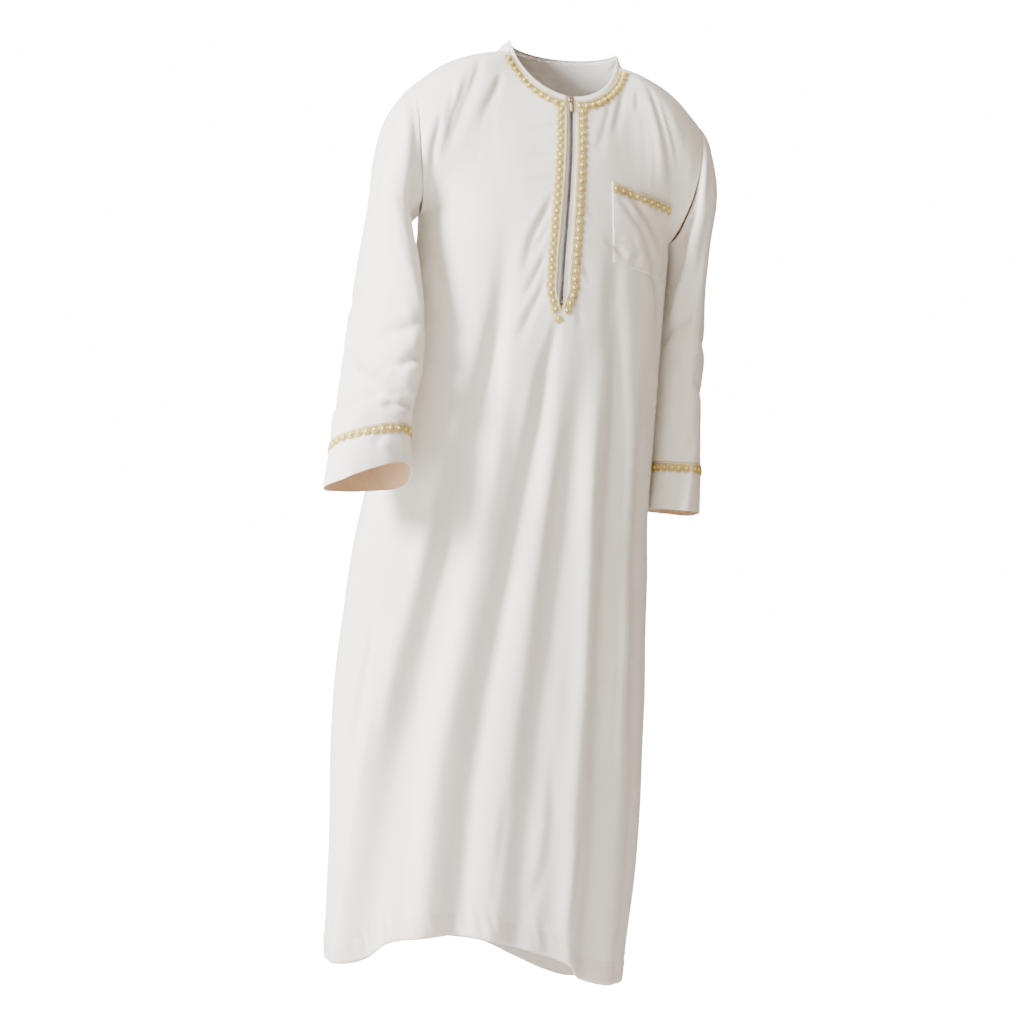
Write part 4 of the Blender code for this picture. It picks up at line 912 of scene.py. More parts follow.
@dataclass(frozen=True)
class ThreadFinish:
    """Metallic or plain thread of braids and sewing.

    Attributes:
        name: material name.
        light: colour on raised windings.
        deep: colour between them, darker as painted shade in the grooves.
        roughness: roughness.
        metallic: share of metal.
        ridges: windings per metre.
        height: height of the windings.
    """

    name: str
    light: tuple[float, float, float]
    deep: tuple[float, float, float]
    roughness: float = 0.38
    metallic: float = 0.35
    ridges: float = 1100.0
    height: float = 0.00014

    def material(self) -> bpy.types.Material:
        """Build the material once and return it.

        Returns:
            The material.
        """
        found = bpy.data.materials.get(self.name)
        if found:
            return found
        mat, nb, shader = new_material(self.name)
        coords = nb.add("ShaderNodeTexCoord")
        group = nb.add("ShaderNodeGroup", node_tree=twist_group())
        group.inputs["Ridges"].default_value = self.ridges
        nb.join(coords.outputs["Object"], group.inputs["Vector"])
        # colour: the windings' height paints the grooves between them darker as painted shade; the patch
        # noise is the thread's own uneven tone
        tone_and_hollow_shade = nb.math("ADD", nb.math("MULTIPLY", group.outputs["Height"], 0.35),
                       nb.math("MULTIPLY", group.outputs["Patch"], 0.9))
        nb.blend(self.deep, self.light, tone_and_hollow_shade, shader.inputs["Base Color"])
        nb.relief(nb.math("MULTIPLY", group.outputs["Height"], self.height), shader)
        shader.inputs["Roughness"].default_value = self.roughness
        shader.inputs["Metallic"].default_value = self.metallic
        return mat


@dataclass(frozen=True)
class MetalFinish:
    """Cast or stamped metal with worn spots.

    Attributes:
        name: material name.
        bright: colour where worn.
        dull: colour of the patina.
        roughness: mean roughness.
    """

    name: str
    bright: tuple[float, float, float]
    dull: tuple[float, float, float]
    roughness: float = 0.32

    def material(self) -> bpy.types.Material:
        """Build the material once and return it.

        Returns:
            The material.
        """
        found = bpy.data.materials.get(self.name)
        if found:
            return found
        mat, nb, shader = new_material(self.name)
        coords = nb.add("ShaderNodeTexCoord")
        patch = slub_noise(nb, coords.outputs["Object"], (520.0, 520.0, 520.0), 3.0)
        grain = slub_noise(nb, coords.outputs["Object"], (4200.0, 900.0, 900.0), 2.0)
        nb.blend(self.dull, self.bright, patch, shader.inputs["Base Color"])
        rough = nb.math("ADD", nb.math("MULTIPLY", patch, 0.22), self.roughness - 0.10)
        nb.join(rough, shader.inputs["Roughness"])
        nb.relief(nb.math("MULTIPLY", grain, 0.00005), shader)
        shader.inputs["Metallic"].default_value = 1.0
        return mat


IVORY = ClothFinish("ivory_weave", (0.87, 0.825, 0.745), (0.81, 0.755, 0.665))
# painted shade: a tan tint for the sleeves' inner faces that stands in for the shade inside the sleeves;
# the cloth itself is ivory throughout
PAINTED_SHADE_INSIDE = ClothFinish("painted_shade_inside_weave", (0.80, 0.59, 0.38), (0.70, 0.48, 0.29))
HEM_CLOTH = ClothFinish("double_weave", (0.86, 0.775, 0.700), (0.79, 0.695, 0.610))
POCKET_CLOTH = ClothFinish("pocket_weave", (0.86, 0.785, 0.715), (0.79, 0.70, 0.62))
TAPE = ClothFinish(
    "tape_twill", (0.82, 0.79, 0.73), (0.70, 0.66, 0.58), 1300.0, 0.00014, crumple=0.0001, roughness=0.7
)
GOLD = ThreadFinish("gold_thread", (0.78, 0.60, 0.17), (0.42, 0.27, 0.045))
PALE_GOLD = ThreadFinish(
    "pale_gold_thread", (0.90, 0.80, 0.42), (0.74, 0.58, 0.20), metallic=0.2, ridges=1500.0
)
SEWING = ThreadFinish(
    "sewing_thread", (0.80, 0.77, 0.71), (0.62, 0.58, 0.51), 0.6, 0.0, ridges=2600.0, height=0.00004
)
DARK_METAL = MetalFinish("gunmetal_teeth", (0.30, 0.28, 0.30), (0.07, 0.065, 0.07), 0.30)
OLD_BRASS = MetalFinish("old_brass", (0.52, 0.38, 0.20), (0.15, 0.10, 0.055), 0.30)


def link(obj: bpy.types.Object) -> bpy.types.Object:
    """Put an object into the scene."""
    bpy.context.scene.collection.objects.link(obj)
    return obj


def free_mesh(name: str, bm: bmesh.types.BMesh) -> bpy.types.Mesh:
    """Turn a bmesh into a mesh and free it.

    Args:
        name: name of the mesh.
        bm: its bmesh.

    Returns:
        The mesh.
    """
    mesh = bpy.data.meshes.new(name)
    bm.to_mesh(mesh)
    bm.free()
    return mesh


def mesh_object(name: str, bm: bmesh.types.BMesh, *finishes: object) -> bpy.types.Object:
    """Make an object from a bmesh and free it.

    Args:
        name: name of the piece.
        bm: its mesh.
        finishes: finishes of its material slots, in order.

    Returns:
        The object, smooth shaded.
    """
    mesh = free_mesh(name, bm)
    for finish in finishes:
        mesh.materials.append(finish.material())
    mesh.polygons.foreach_set("use_smooth", [True] * len(mesh.polygons))
    return link(bpy.data.objects.new(name, mesh))


def arc_lengths(grid: np.ndarray, axis: int) -> np.ndarray:
    """Distances along one axis of a grid of points.

    Args:
        grid: points in two directions.
        axis: 0 or 1.

    Returns:
        The distances, 0 at the first points.
    """
    steps = np.linalg.norm(np.diff(grid, axis=axis), axis=-1)
    total = np.cumsum(steps, axis=axis)
    pad = [(0, 0), (0, 0)]
    pad[axis] = (1, 0)
    return np.pad(total, pad)


def grid_normals(grid: np.ndarray, outward: float) -> np.ndarray:
    """Unit normals of a grid of points; outward is 1 or -1."""
    return unit(np.cross(np.gradient(grid, axis=1), np.gradient(grid, axis=0)) * outward)


@dataclass
class Weft:
    """One grid of cloth points with its cloth coordinates.

    Attributes:
        points: array of columns, rows and xyz.
        uv: array of columns, rows and two distances in metres.
        double: where the cloth is folded double, as at a hem.
    """

    points: np.ndarray
    uv: np.ndarray
    double: np.ndarray | None = None


def cloth_object(
    name: str, parts: list[Weft], finish: ClothFinish, wall: float, flip: bool,
    inner: ClothFinish | None = None,
) -> bpy.types.Object:
    """Make one piece of cloth with a wall from its grids.

    Args:
        name: name of the piece.
        parts: grids that meet at equal points.
        finish: cloth finish.
        wall: thickness of the wall, laid inward.
        flip: whether the faces have to be turned over.
        inner: finish of the inner faces where it differs; the sleeves pass a painted shade here.

    Returns:
        The object.
    """
    bm = bmesh.new()
    layer = bm.loops.layers.uv.new("cloth")
    for part in parts:
        n_cols, n_rows = part.points.shape[:2]
        made = bmesh.ops.create_grid(bm, x_segments=n_rows - 1, y_segments=n_cols - 1, size=1.0)["verts"]
        place = {}
        for vert in made:
            j = int(round((vert.co.x + 1) / 2 * (n_rows - 1)))
            i = int(round((vert.co.y + 1) / 2 * (n_cols - 1)))
            place[vert] = (i, j)
        faces = {face for vert in made for face in vert.link_faces}
        for face in faces:
            for loop in face.loops:
                i, j = place[loop.vert]
                loop[layer].uv = part.uv[i, j]
            if part.double is not None and all(part.double[place[vert]] for vert in face.verts):
                face.material_index = 1
        for vert, (i, j) in place.items():
            vert.co = part.points[i, j]
    bmesh.ops.remove_doubles(bm, verts=bm.verts, dist=MERGE_DISTANCE)
    thin = [edge for edge in bm.edges if edge.calc_length() < 1e-6]
    bmesh.ops.dissolve_degenerate(bm, edges=thin, dist=1e-6)
    if flip:
        bmesh.ops.reverse_faces(bm, faces=bm.faces)
    obj = mesh_object(name, bm, finish, *((inner,) if inner else ()))
    mod = obj.modifiers.new("wall", "SOLIDIFY")
    mod.material_offset = 1 if inner else 0
    mod.thickness = wall
    mod.offset = -1.0
    mod.use_rim = True
    return obj


class Skin:
    """Outer faces of a cloth piece, on which trims and stitches are laid."""

    def __init__(self, parts: list[Weft], flip: bool) -> None:
        """Build the search tree.

        Args:
            parts: grids of the cloth.
            flip: whether the faces have to be turned over.
        """
        points, faces = [], []
        for part in parts:
            n_cols, n_rows = part.points.shape[:2]
            start = len(points)
            points += [tuple(p) for p in part.points.reshape(-1, 3)]
            for i in range(n_cols - 1):
                for j in range(n_rows - 1):
                    a = start + i * n_rows + j
                    quad = (a, a + n_rows, a + n_rows + 1, a + 1)
                    faces.append(quad if flip else quad[::-1])
        self.tree = BVHTree.FromPolygons(points, faces)

    def lay(self, points: np.ndarray, lifts: np.ndarray) -> np.ndarray:
        """Points on the cloth nearest to the given ones, moved out by their lift.

        Args:
            points: points near the cloth.
            lifts: distance of each point from the cloth.

        Returns:
            The laid points.
        """
        out = np.empty_like(points)
        for k, (point, lift) in enumerate(zip(points, lifts)):
            hit, normal = self.tree.find_nearest(Vector(point))[:2]
            out[k] = hit + normal * float(lift)
        return out

    def frame(self, point: np.ndarray) -> tuple[np.ndarray, np.ndarray]:
        """Nearest point on the cloth and its normal."""
        hit, normal = self.tree.find_nearest(Vector(point))[:2]
        return np.array(hit), np.array(normal)


@dataclass
class Panel:
    """Front or back of the body, from neck and shoulders to the hem.

    Attributes:
        side: front or back.
        n_cols: columns on each half.
        n_upper: rows above the chest line.
        n_lower: rows below it.
        wall: thickness shown.
        wefts: its two grids, once built.
        wave: heights of the long and the short soft waves.
    """

    side: Side
    n_cols: int
    n_upper: int
    n_lower: int
    wall: float = CLOTH_WALL
    wefts: list[Weft] = field(default_factory=list)
    wave: tuple[float, float] = (0.0011, 0.0007)

    def columns(self) -> np.ndarray:
        """Columns of one half from the middle to the side seam, closer at the seam."""
        even = np.linspace(0.0, 1.0, self.n_cols - 2)
        return np.sort(np.concatenate([even, [0.9965, 0.9915]]))

    def rows(self) -> tuple[np.ndarray, np.ndarray]:
        """Rows above and below the chest line as shares of their stretch.

        Returns:
            The shares above and below.
        """
        upper = np.linspace(0.0, 1.0, self.n_upper) ** 1.15
        upper = np.sort(np.concatenate([upper, [0.006, 0.013]]))
        foot = SLIT_POINT_Z - CHEST_Z
        low = np.linspace(0.0, 1.0, self.n_lower + 1)[1:]
        low = low + 0.035 * np.sin(math.pi * low) ** 2
        point = foot / (-1.358 - CHEST_Z)
        low[np.argmin(np.abs(low - point))] = point
        return upper, np.sort(low)

    def place(self, col: np.ndarray, upper: np.ndarray, low: np.ndarray) -> tuple[np.ndarray, np.ndarray]:
        """Smooth points of a half panel.

        Args:
            col: array of columns and rows with the column of each point.
            upper: rows above the chest line.
            low: rows below it.

        Returns:
            Points, and the distance of each point above the hem.
        """
        n = len(upper)
        v = np.broadcast_to(upper, (len(col), n))
        top = upper_point(col[:, :n], v.copy(), self.side)
        hem = hem_height(col[:, n:], self.side)
        z = CHEST_Z + (hem - CHEST_Z) * low
        points = np.concatenate([top, body_point(col[:, n:], z, self.side)], axis=1)
        above = np.concatenate([np.full(v.shape, 1.0), z - hem], axis=1)
        return points, above

    def half(self, sign: float) -> Weft:
        """One half of the panel with folds, creases, hem and seam edges.

        Args:
            sign: -1 for the wearer's right, 1 for the left.

        Returns:
            The grid; its first column is the middle or the zip's edge.
        """
        upper, low = self.rows()
        base = self.columns()[:, None]
        rows = len(upper) + len(low)
        col = np.broadcast_to(base, (len(base), rows)).copy()
        if self.side is Side.FRONT:
            col = self.open_slit(col, upper, low)
        col = col * sign
        points, above = self.place(col, upper, low)
        normals = grid_normals(points, -self.side.value * sign)
        folds = FRONT_FOLDS if self.side is Side.FRONT else BACK_FOLDS
        z = points[..., 2]
        move = fold_move(col, z, folds)
        for crease in BODY_CREASES:
            move += crease.move(points, normals)
        u, v = arc_lengths(points, 0) * sign, arc_lengths(points, 1)
        seed = 3 if self.side is Side.FRONT else 7
        calm = soft_step(0.0, 0.05, 1.0 - np.abs(col)) * soft_step(0.0, 0.10, v)
        below_chest = soft_step(CHEST_Z, -0.80, z)
        move += self.wave[0] * calm * ripple(points[..., 0], z, seed, 0.60, 0.045) * below_chest
        move += self.wave[1] * calm * ripple(points[..., 0], z, seed + 1, 0.16, 0.050)
        move += self.hem_move(u, above, seed)
        to_side = u[-1:] - u
        to_seam = np.minimum(np.abs(to_side), np.where(np.abs(col) > COL_NECK, v, 1.0))
        move -= SEAM_SINK * np.exp(-to_seam / SEAM_WIDTH)
        points = points + normals * move[..., None]
        return Weft(points, np.stack([u, -v], axis=-1), above < HEM_DEPTH)

    def open_slit(self, col: np.ndarray, upper: np.ndarray, low: np.ndarray) -> np.ndarray:
        """Push the columns next to the middle aside, so that the first follows the zip's edge.

        Args:
            col: columns, -1 at the right side seam to 1 at the left.
            upper: rows above the chest line.
            low: rows below it.

        Returns:
            The moved columns.
        """
        step, room = 0.05, 0.14
        probe = self.place(np.tile([[0.0], [step]], (1, col.shape[1])), upper, low)[0]
        z = probe[0, :, 2]
        half = SLIT_HALF_TOP + (SLIT_HALF_LOW - SLIT_HALF_TOP) * soft_step(-0.14, -0.34, z)
        half = half * np.clip((z - SLIT_POINT_Z) / (SLIT_FOOT_Z - SLIT_POINT_Z), 0.0, 1.0)
        half[np.abs(z - SLIT_POINT_Z) < 0.0012] = 0.0
        edge = half / np.abs(probe[1, :, 0] - probe[0, :, 0]) * step
        return col + edge * np.clip(1.0 - col / room, 0.0, 1.0)

    def hem_move(self, u: np.ndarray, above: np.ndarray, seed: int) -> np.ndarray:
        """Turned hem: double cloth, a sewn line that sinks in, and puckers that it gathers.

        Args:
            u: distances across.
            above: distances above the edge.
            seed: fixed number that sets the puckers.

        Returns:
            Distance along the normal.
        """
        double = HEM_RAISE * soft_step(HEM_DEPTH + 0.002, HEM_DEPTH - 0.002, above)
        line = -0.0012 * np.exp(-((above - HEM_DEPTH) / 0.0030) ** 2)
        near = np.exp(-((above - HEM_DEPTH * 0.8) / 0.022) ** 2)
        pucker = 0.0014 * near * ripple(u + above * 0.35, above, seed + 40, 0.30, 0.012, 12)
        bottom = -0.0006 * np.exp(-above / EDGE_WIDTH)
        return double + line + pucker + bottom

    def build(self, name: str) -> bpy.types.Object:
        """Build the cloth and return its object.

        Args:
            name: name of the piece.

        Returns:
            The object.
        """
        right, left = self.half(-1.0), self.half(1.0)
        right = Weft(right.points[::-1], right.uv[::-1], right.double[::-1])
        self.wefts = [right, left]
        obj = cloth_object(name, self.wefts, IVORY, self.wall, self.side is Side.BACK)
        obj.data.materials.append(HEM_CLOTH.material())
        return obj

    def skin(self) -> Skin:
        """Outer faces of the panel."""
        return Skin(self.wefts, self.side is Side.BACK)


@dataclass
class Sleeve:
    """A set-in sleeve from the armhole to the open cuff.

    Attributes:
        table: rings below the head.
        sign: -1 for the wearer's right, 1 for the left.
        angles: points round the sleeve.
        seed: fixed number for its soft waves.
        wall: thickness shown.
        wefts: its grid, once built.
        flip: whether its faces have to be turned over.
    """

    table: tuple
    sign: float
    angles: int = 84
    seed: int = 20
    wall: float = CLOTH_WALL
    wefts: list[Weft] = field(default_factory=list)
    flip: bool = False

    def ring(self, t: float, angle: np.ndarray) -> np.ndarray:
        """Points of the ring at share t of the length below the head.

        Args:
            t: share of the length below the head.
            angle: angles in degrees.

        Returns:
            Points.
        """
        x, y, z, half_u, half_w, tilt, lean = read_table(self.table, np.array(t))
        ahead = read_table(self.table, np.array(min(t + 0.02, 1.0)))[:3]
        behind = read_table(self.table, np.array(max(t - 0.02, 0.0)))[:3]
        axis = unit(ahead - behind)
        lateral = np.array((self.sign, 0.0, 0.0))
        lateral = unit(lateral - axis * float(lateral @ axis))
        front = np.cross(axis, lateral) * self.sign
        front = -front if front[1] > 0 else front
        turn = math.radians(tilt)
        lateral = lateral * math.cos(turn) + axis * math.sin(turn)
        a = np.radians(angle)[:, None]
        if self.sign < 0:
            lift = read_table(CUFF_LIFT_RIGHT, angle) * soft_step(0.87, 1.0, np.array(t))
        else:
            lift = read_table(CUFF_LIFT_LEFT, angle) * soft_step(0.45, 0.80, np.array(t))
        side = lateral * (half_u * np.cos(a) - lean * np.sin(a))
        return np.array((x, y, z)) + side + front * half_w * np.sin(a) - axis * lift

    def smooth_grid(self) -> np.ndarray:
        """Points of the sleeve before creases: angles, rows, xyz.

        Returns:
            The grid.
        """
        angle = np.linspace(0.0, 360.0, self.angles + 1)
        top = arm_point(angle, np.full_like(angle, self.sign))
        go = read_table(SLEEVE_START, angle)
        start = unit(stack(self.sign * go[:, 0], -go[:, 1], -go[:, 2]))
        top = top + start * 0.0003
        low = self.ring(0.0, angle)
        end = unit(self.ring(0.03, angle) - low)
        length = np.linalg.norm(low - top, axis=-1, keepdims=True)
        head = [hermite(top, start * length, low, end * length, v) for v in self.head_rows()]
        rest = [self.ring(float(t), angle) for t in np.linspace(0.0, 1.0, 96)[1:]]
        return np.stack(head + rest, axis=1)

    @staticmethod
    def head_rows() -> np.ndarray:
        """Shares of the rows of the head, closer at the seam."""
        return np.sort(np.concatenate([np.linspace(0.0, 1.0, 52), [0.005, 0.010]]))

    def build(self, name: str) -> bpy.types.Object:
        """Build the cloth and return its object.

        Args:
            name: name of the piece.

        Returns:
            The object.
        """
        points = self.smooth_grid()
        closed = np.concatenate([points[-3:-1], points, points[1:3]])
        normals = grid_normals(closed, -self.sign)[2:-2]
        centre = points.mean(axis=0, keepdims=True)
        if np.mean(np.sum(normals * (points - centre), axis=-1)) < 0:
            normals = -normals
        u, v = arc_lengths(points, 0), arc_lengths(points, 1)
        to_edge = v[:, -1:] - v
        move = np.zeros(v.shape)
        for crease in SLEEVE_CREASES:
            move += crease.move(points, normals)
        turn = np.linspace(0.0, 2 * math.pi, self.angles + 1)[:, None]
        wave_radius = 0.05
        round_x, round_y = wave_radius * np.cos(turn), wave_radius * np.sin(turn)
        calm = soft_step(0.0, 0.05, v)
        move += 0.0012 * calm * ripple(round_x, v + 0 * turn, self.seed, 0.14, 0.05)
        move += 0.0010 * calm * ripple(round_y, v + 0 * turn, self.seed + 1, 0.18, 0.05)
        ease = np.sin(turn * 14.0 + 2.0 * np.sin(turn * 3.0)) * np.exp(-v / 0.016)
        ease = ease * soft_step(0.0, 0.004, v)
        move += 0.0007 * ease * soft_step(-0.3, 0.6, np.cos(turn))
        move += 0.0005 * soft_step(CUFF_RISE + 0.002, CUFF_RISE - 0.002, to_edge)
        move -= SEAM_SINK * np.exp(-v / SEAM_WIDTH)
        move -= 0.0005 * np.exp(-to_edge / EDGE_WIDTH)
        seam = np.abs(turn - math.pi) * SLEEVE_RADIUS
        move -= 0.0008 * np.exp(-seam / SEWN_WIDTH)
        points = points + normals * move[..., None]
        points[-1] = points[0]
        across = np.broadcast_to(turn * SLEEVE_RADIUS, v.shape)
        self.wefts = [Weft(points, np.stack([across, -v], axis=-1))]
        self.flip = self.faces_in(points, normals)
        # the sleeve's inner faces take the painted shade finish
        return cloth_object(name, self.wefts, IVORY, self.wall, self.flip, PAINTED_SHADE_INSIDE)

    @staticmethod
    def faces_in(points: np.ndarray, normals: np.ndarray) -> bool:
        """Whether the grid's own faces look inward.

        Args:
            points: points of the cloth.
            normals: unit normals there.

        Returns:
            Whether they do.
        """
        i, j = 5, points.shape[1] // 2
        side = np.cross(points[i, j + 1] - points[i, j], points[i + 1, j] - points[i, j])
        return float(side @ normals[i, j]) < 0

    def skin(self) -> Skin:
        """Outer faces of the sleeve."""
        return Skin(self.wefts, self.flip)


@dataclass
class Route:
    """A line on the cloth along which trims and stitches are laid.

    Attributes:
        points: points of the line.
        across: direction to the trim's outer side at each point.
        closed: whether the line meets itself.
    """

    points: np.ndarray
    across: np.ndarray
    closed: bool = False

    def __post_init__(self) -> None:
        """Measure the line."""
        if self.closed:
            self.points = np.concatenate([self.points, self.points[:1]])
            self.across = np.concatenate([self.across, self.across[:1]])
        steps = np.linalg.norm(np.diff(self.points, axis=0), axis=1)
        self.marks = np.concatenate([[0.0], np.cumsum(steps)])

    @property
    def length(self) -> float:
        """Length of the line."""
        return float(self.marks[-1])

    def read(self, s: np.ndarray) -> tuple[np.ndarray, np.ndarray, np.ndarray]:
        """Points, directions across and directions along at distances s.

        Args:
            s: distances along the line.

        Returns:
            Points, directions across and directions along.
        """
        s = np.atleast_1d(np.asarray(s, dtype=float))

        def pick(values: np.ndarray, at: np.ndarray) -> np.ndarray:
            return np.stack([np.interp(at, self.marks, values[:, k]) for k in range(3)], axis=-1)

        along = unit(pick(self.points, s + 0.0006) - pick(self.points, s - 0.0006))
        return pick(self.points, s), unit(pick(self.across, s)), along


def tube(points: np.ndarray, radius: float, closed: bool = False) -> bpy.types.Mesh:
    """Mesh of a round cord along points, made through a curve.

    Args:
        points: centre line.
        radius: radius of the cord.
        closed: whether the line meets itself.

    Returns:
        The mesh; its curve is removed.
    """
    curve = bpy.data.curves.new("cord_line", "CURVE")
    curve.dimensions = "3D"
    curve.bevel_depth = radius
    curve.bevel_resolution = 1
    curve.use_fill_caps = True
    spline = curve.splines.new("POLY")
    spline.points.add(len(points) - 1)
    spline.points.foreach_set("co", np.column_stack([points, np.ones(len(points))]).ravel())
    spline.use_cyclic_u = closed
    obj = link(bpy.data.objects.new("cord_line", curve))
    mesh = bpy.data.meshes.new_from_object(obj.evaluated_get(bpy.context.evaluated_depsgraph_get()))
    bpy.data.objects.remove(obj, do_unlink=True)
    bpy.data.curves.remove(curve)
    return mesh


def ring_shape(bm: bmesh.types.BMesh, at: tuple[float, float], major: float, minor: float,
               steps: int, sides: int, rise: float) -> None:
    """Add a flat ring to a bmesh.

    Args:
        bm: mesh to add to.
        at: middle of the ring.
        major: radius of its centre line.
        minor: radius of its section.
        steps: divisions round the ring.
        sides: sides of the section.
        rise: height of its centre line.
    """
    place = Matrix.Translation((at[0] + major, at[1], rise)) @ Matrix.Rotation(math.pi / 2, 4, "X")
    made = bmesh.ops.create_circle(bm, segments=sides, radius=minor, matrix=place)["verts"]
    edges = list({edge for vert in made for edge in vert.link_edges})
    bmesh.ops.spin(bm, geom=made + edges, cent=(at[0], at[1], rise), axis=(0, 0, 1),
                   angle=2 * math.pi, steps=steps, use_merge=True)


def motif_shape() -> bpy.types.Mesh:
    """One ornament of the braid: two rings, a bead and outer loops; x along, y across, z up.

    Returns:
        The mesh.
    """
    bm = bmesh.new()
    ring_shape(bm, (0.0, 0.0), 0.00475, 0.00085, 18, 5, 0.00095)
    ring_shape(bm, (0.0, 0.0), 0.00335, 0.00052, 14, 4, 0.00125)
    for turn, reach in ((-52.0, 0.0056), (-18.0, 0.0064), (18.0, 0.0064), (52.0, 0.0056)):
        a = math.radians(turn)
        ring_shape(bm, (reach * math.sin(a), reach * math.cos(a)), 0.00135, 0.00038, 9, 4, 0.0006)
    ring_shape(bm, (0.0061, 0.0016), 0.0012, 0.0004, 8, 4, 0.0006)
    bmesh.ops.recalc_face_normals(bm, faces=bm.faces)
    old = set(bm.faces)
    flat = Matrix.Translation((0.0, -0.0006, 0.0011)) @ Matrix.Diagonal((1.0, 1.0, 0.62, 1.0))
    bmesh.ops.create_uvsphere(bm, u_segments=10, v_segments=6, radius=0.0027, matrix=flat)
    for face in bm.faces:
        if face not in old:
            face.material_index = 1
    return free_mesh("motif", bm)


def stitch_shape() -> bpy.types.Mesh:
    """One stitch of sewing thread, 2.6 mm long; x along, y across, z up.

    Returns:
        The mesh.
    """
    bm = bmesh.new()
    size = Matrix.Diagonal((0.0013, 0.00027, 0.00024, 1.0))
    bmesh.ops.create_uvsphere(bm, u_segments=6, v_segments=5, radius=1.0, matrix=size)
    bmesh.ops.recalc_face_normals(bm, faces=bm.faces)
    return free_mesh("stitch", bm)


class Stamper:
    """Lays copies of a small shape on the cloth."""

    def __init__(self, skin: Skin, shape: bpy.types.Mesh) -> None:
        """Read the shape.

        Args:
            skin: cloth to lay it on.
            shape: mesh with x along, y across and z up.
        """
        self.skin = skin
        self.shape = shape
        self.local = np.array([tuple(vert.co) for vert in shape.vertices])

    def stamp(self, bm: bmesh.types.BMesh, point: np.ndarray, along: np.ndarray, across: np.ndarray,
              size: float = 1.0, lift: float = 0.0) -> None:
        """Add one copy.

        Args:
            bm: mesh to add to.
            point: place of the shape's origin.
            along: direction of its x axis.
            across: direction of its y axis.
            size: scale of the copy.
            lift: extra height.
        """
        hit, normal = self.skin.frame(point)
        along = unit(along - normal * float(along @ normal))
        side = np.cross(normal, along)
        side = side if float(side @ across) > 0 else -side
        start = len(bm.verts)
        bm.from_mesh(self.shape)
        bm.verts.ensure_lookup_table()
        local = self.local * size
        flat = hit + local[:, :1] * along + local[:, 1:2] * side
        laid = self.skin.lay(flat, local[:, 2] + lift)
        for k, place in enumerate(laid):
            bm.verts[start + k].co = place


@dataclass
class Braid:
    """A gold braid: two fine cords and a row of beaded rings with scalloped loops.

    Attributes:
        skin: cloth that it is sewn to.
        lift: distance of its foot from the cloth.
        cord_radius: radius of a cord.
        cord_rise: height of a cord's middle above the foot.
        cord_step: distance between the points of a cord.
        uneven: how much the size of the ornaments varies.
        lean: how far they turn, in radians.
    """

    skin: Skin
    lift: float = 0.0004
    cord_radius: float = 0.00072
    cord_rise: float = 0.00062
    cord_step: float = 0.0016
    uneven: float = 0.035
    lean: float = 0.10

    def cords(self, bm: bmesh.types.BMesh, route: Route, offsets: tuple[float, ...], start: float = 0.0,
              end: float | None = None) -> None:
        """Add cords along a route.

        Args:
            bm: mesh to add to.
            route: inner edge of the braid.
            offsets: distances of the cords from that edge.
            start: distance where they begin.
            end: distance where they end.
        """
        end = route.length if end is None else end
        marks = np.linspace(start, end, max(int((end - start) / self.cord_step), 8))
        marks = marks[:-1] if route.closed else marks
        points, across = route.read(marks)[:2]
        for k, offset in enumerate(offsets):
            line = self.skin.lay(points + across * offset, np.full(len(points), self.lift + self.cord_rise))
            mesh = tube(line, self.cord_radius, route.closed)
            begin = len(bm.faces)
            bm.from_mesh(mesh)
            bm.faces.ensure_lookup_table()
            for face in bm.faces[begin:]:
                face.material_index = 2 if k == 1 and len(offsets) > 2 else 0
            bpy.data.meshes.remove(mesh)

    def motifs(self, bm: bmesh.types.BMesh, route: Route, marks: np.ndarray, middle: float) -> None:
        """Add ornaments at the given distances.

        Args:
            bm: mesh to add to.
            route: line to follow.
            marks: distances along the route.
            middle: distance of the middles from the route.
        """
        stamper = Stamper(self.skin, motif_shape())
        points, across, along = route.read(marks)
        rng = np.random.default_rng(5)
        for k in range(len(marks)):
            size = 1.0 + rng.uniform(-self.uneven, self.uneven)
            turn = rng.uniform(-self.lean, self.lean)
            lean = along[k] * math.cos(turn) + across[k] * math.sin(turn)
            stamper.stamp(bm, points[k] + across[k] * middle, lean, across[k], size, self.lift)

    def finish(self, bm: bmesh.types.BMesh, name: str, node: str) -> bpy.types.Object:
        """Make the object of a braid.

        Args:
            bm: its mesh.
            name: name of the piece.
            node: solid that it stands for.

        Returns:
            The object.
        """
        obj = mesh_object(name, bm, GOLD, PALE_GOLD, SEWING)
        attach(obj, "garment")
        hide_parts(node)
        return obj


@dataclass
class Sewing:
    """Rows of stitches on one piece of cloth.

    Attributes:
        skin: cloth that they are sewn into.
        pitch: distance from stitch to stitch.
        bm: mesh that gathers them.
        lift: height of their middle line above the cloth.
    """

    skin: Skin
    pitch: float = 0.0034
    bm: bmesh.types.BMesh = field(default_factory=bmesh.new)
    lift: float = 0.00012

    def row(self, route: Route, start: float = 0.0) -> None:
        """Add a row of stitches along a route.

        Args:
            route: line to follow.
            start: distance where the row begins.
        """
        end = route.length
        count = max(int((end - start) / self.pitch), 2)
        marks = start + (end - start) * (np.arange(count) + 0.5) / count
        points, across, along = route.read(marks)
        stamper = Stamper(self.skin, stitch_shape())
        for k in range(count):
            stamper.stamp(self.bm, points[k], along[k], across[k], 1.0, self.lift)

    def finish(self, name: str) -> bpy.types.Object:
        """Make the object of the stitches.

        Args:
            name: name of the piece.

        Returns:
            The object.
        """
        obj = mesh_object(name, self.bm, SEWING)
        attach(obj, "garment")
        return obj


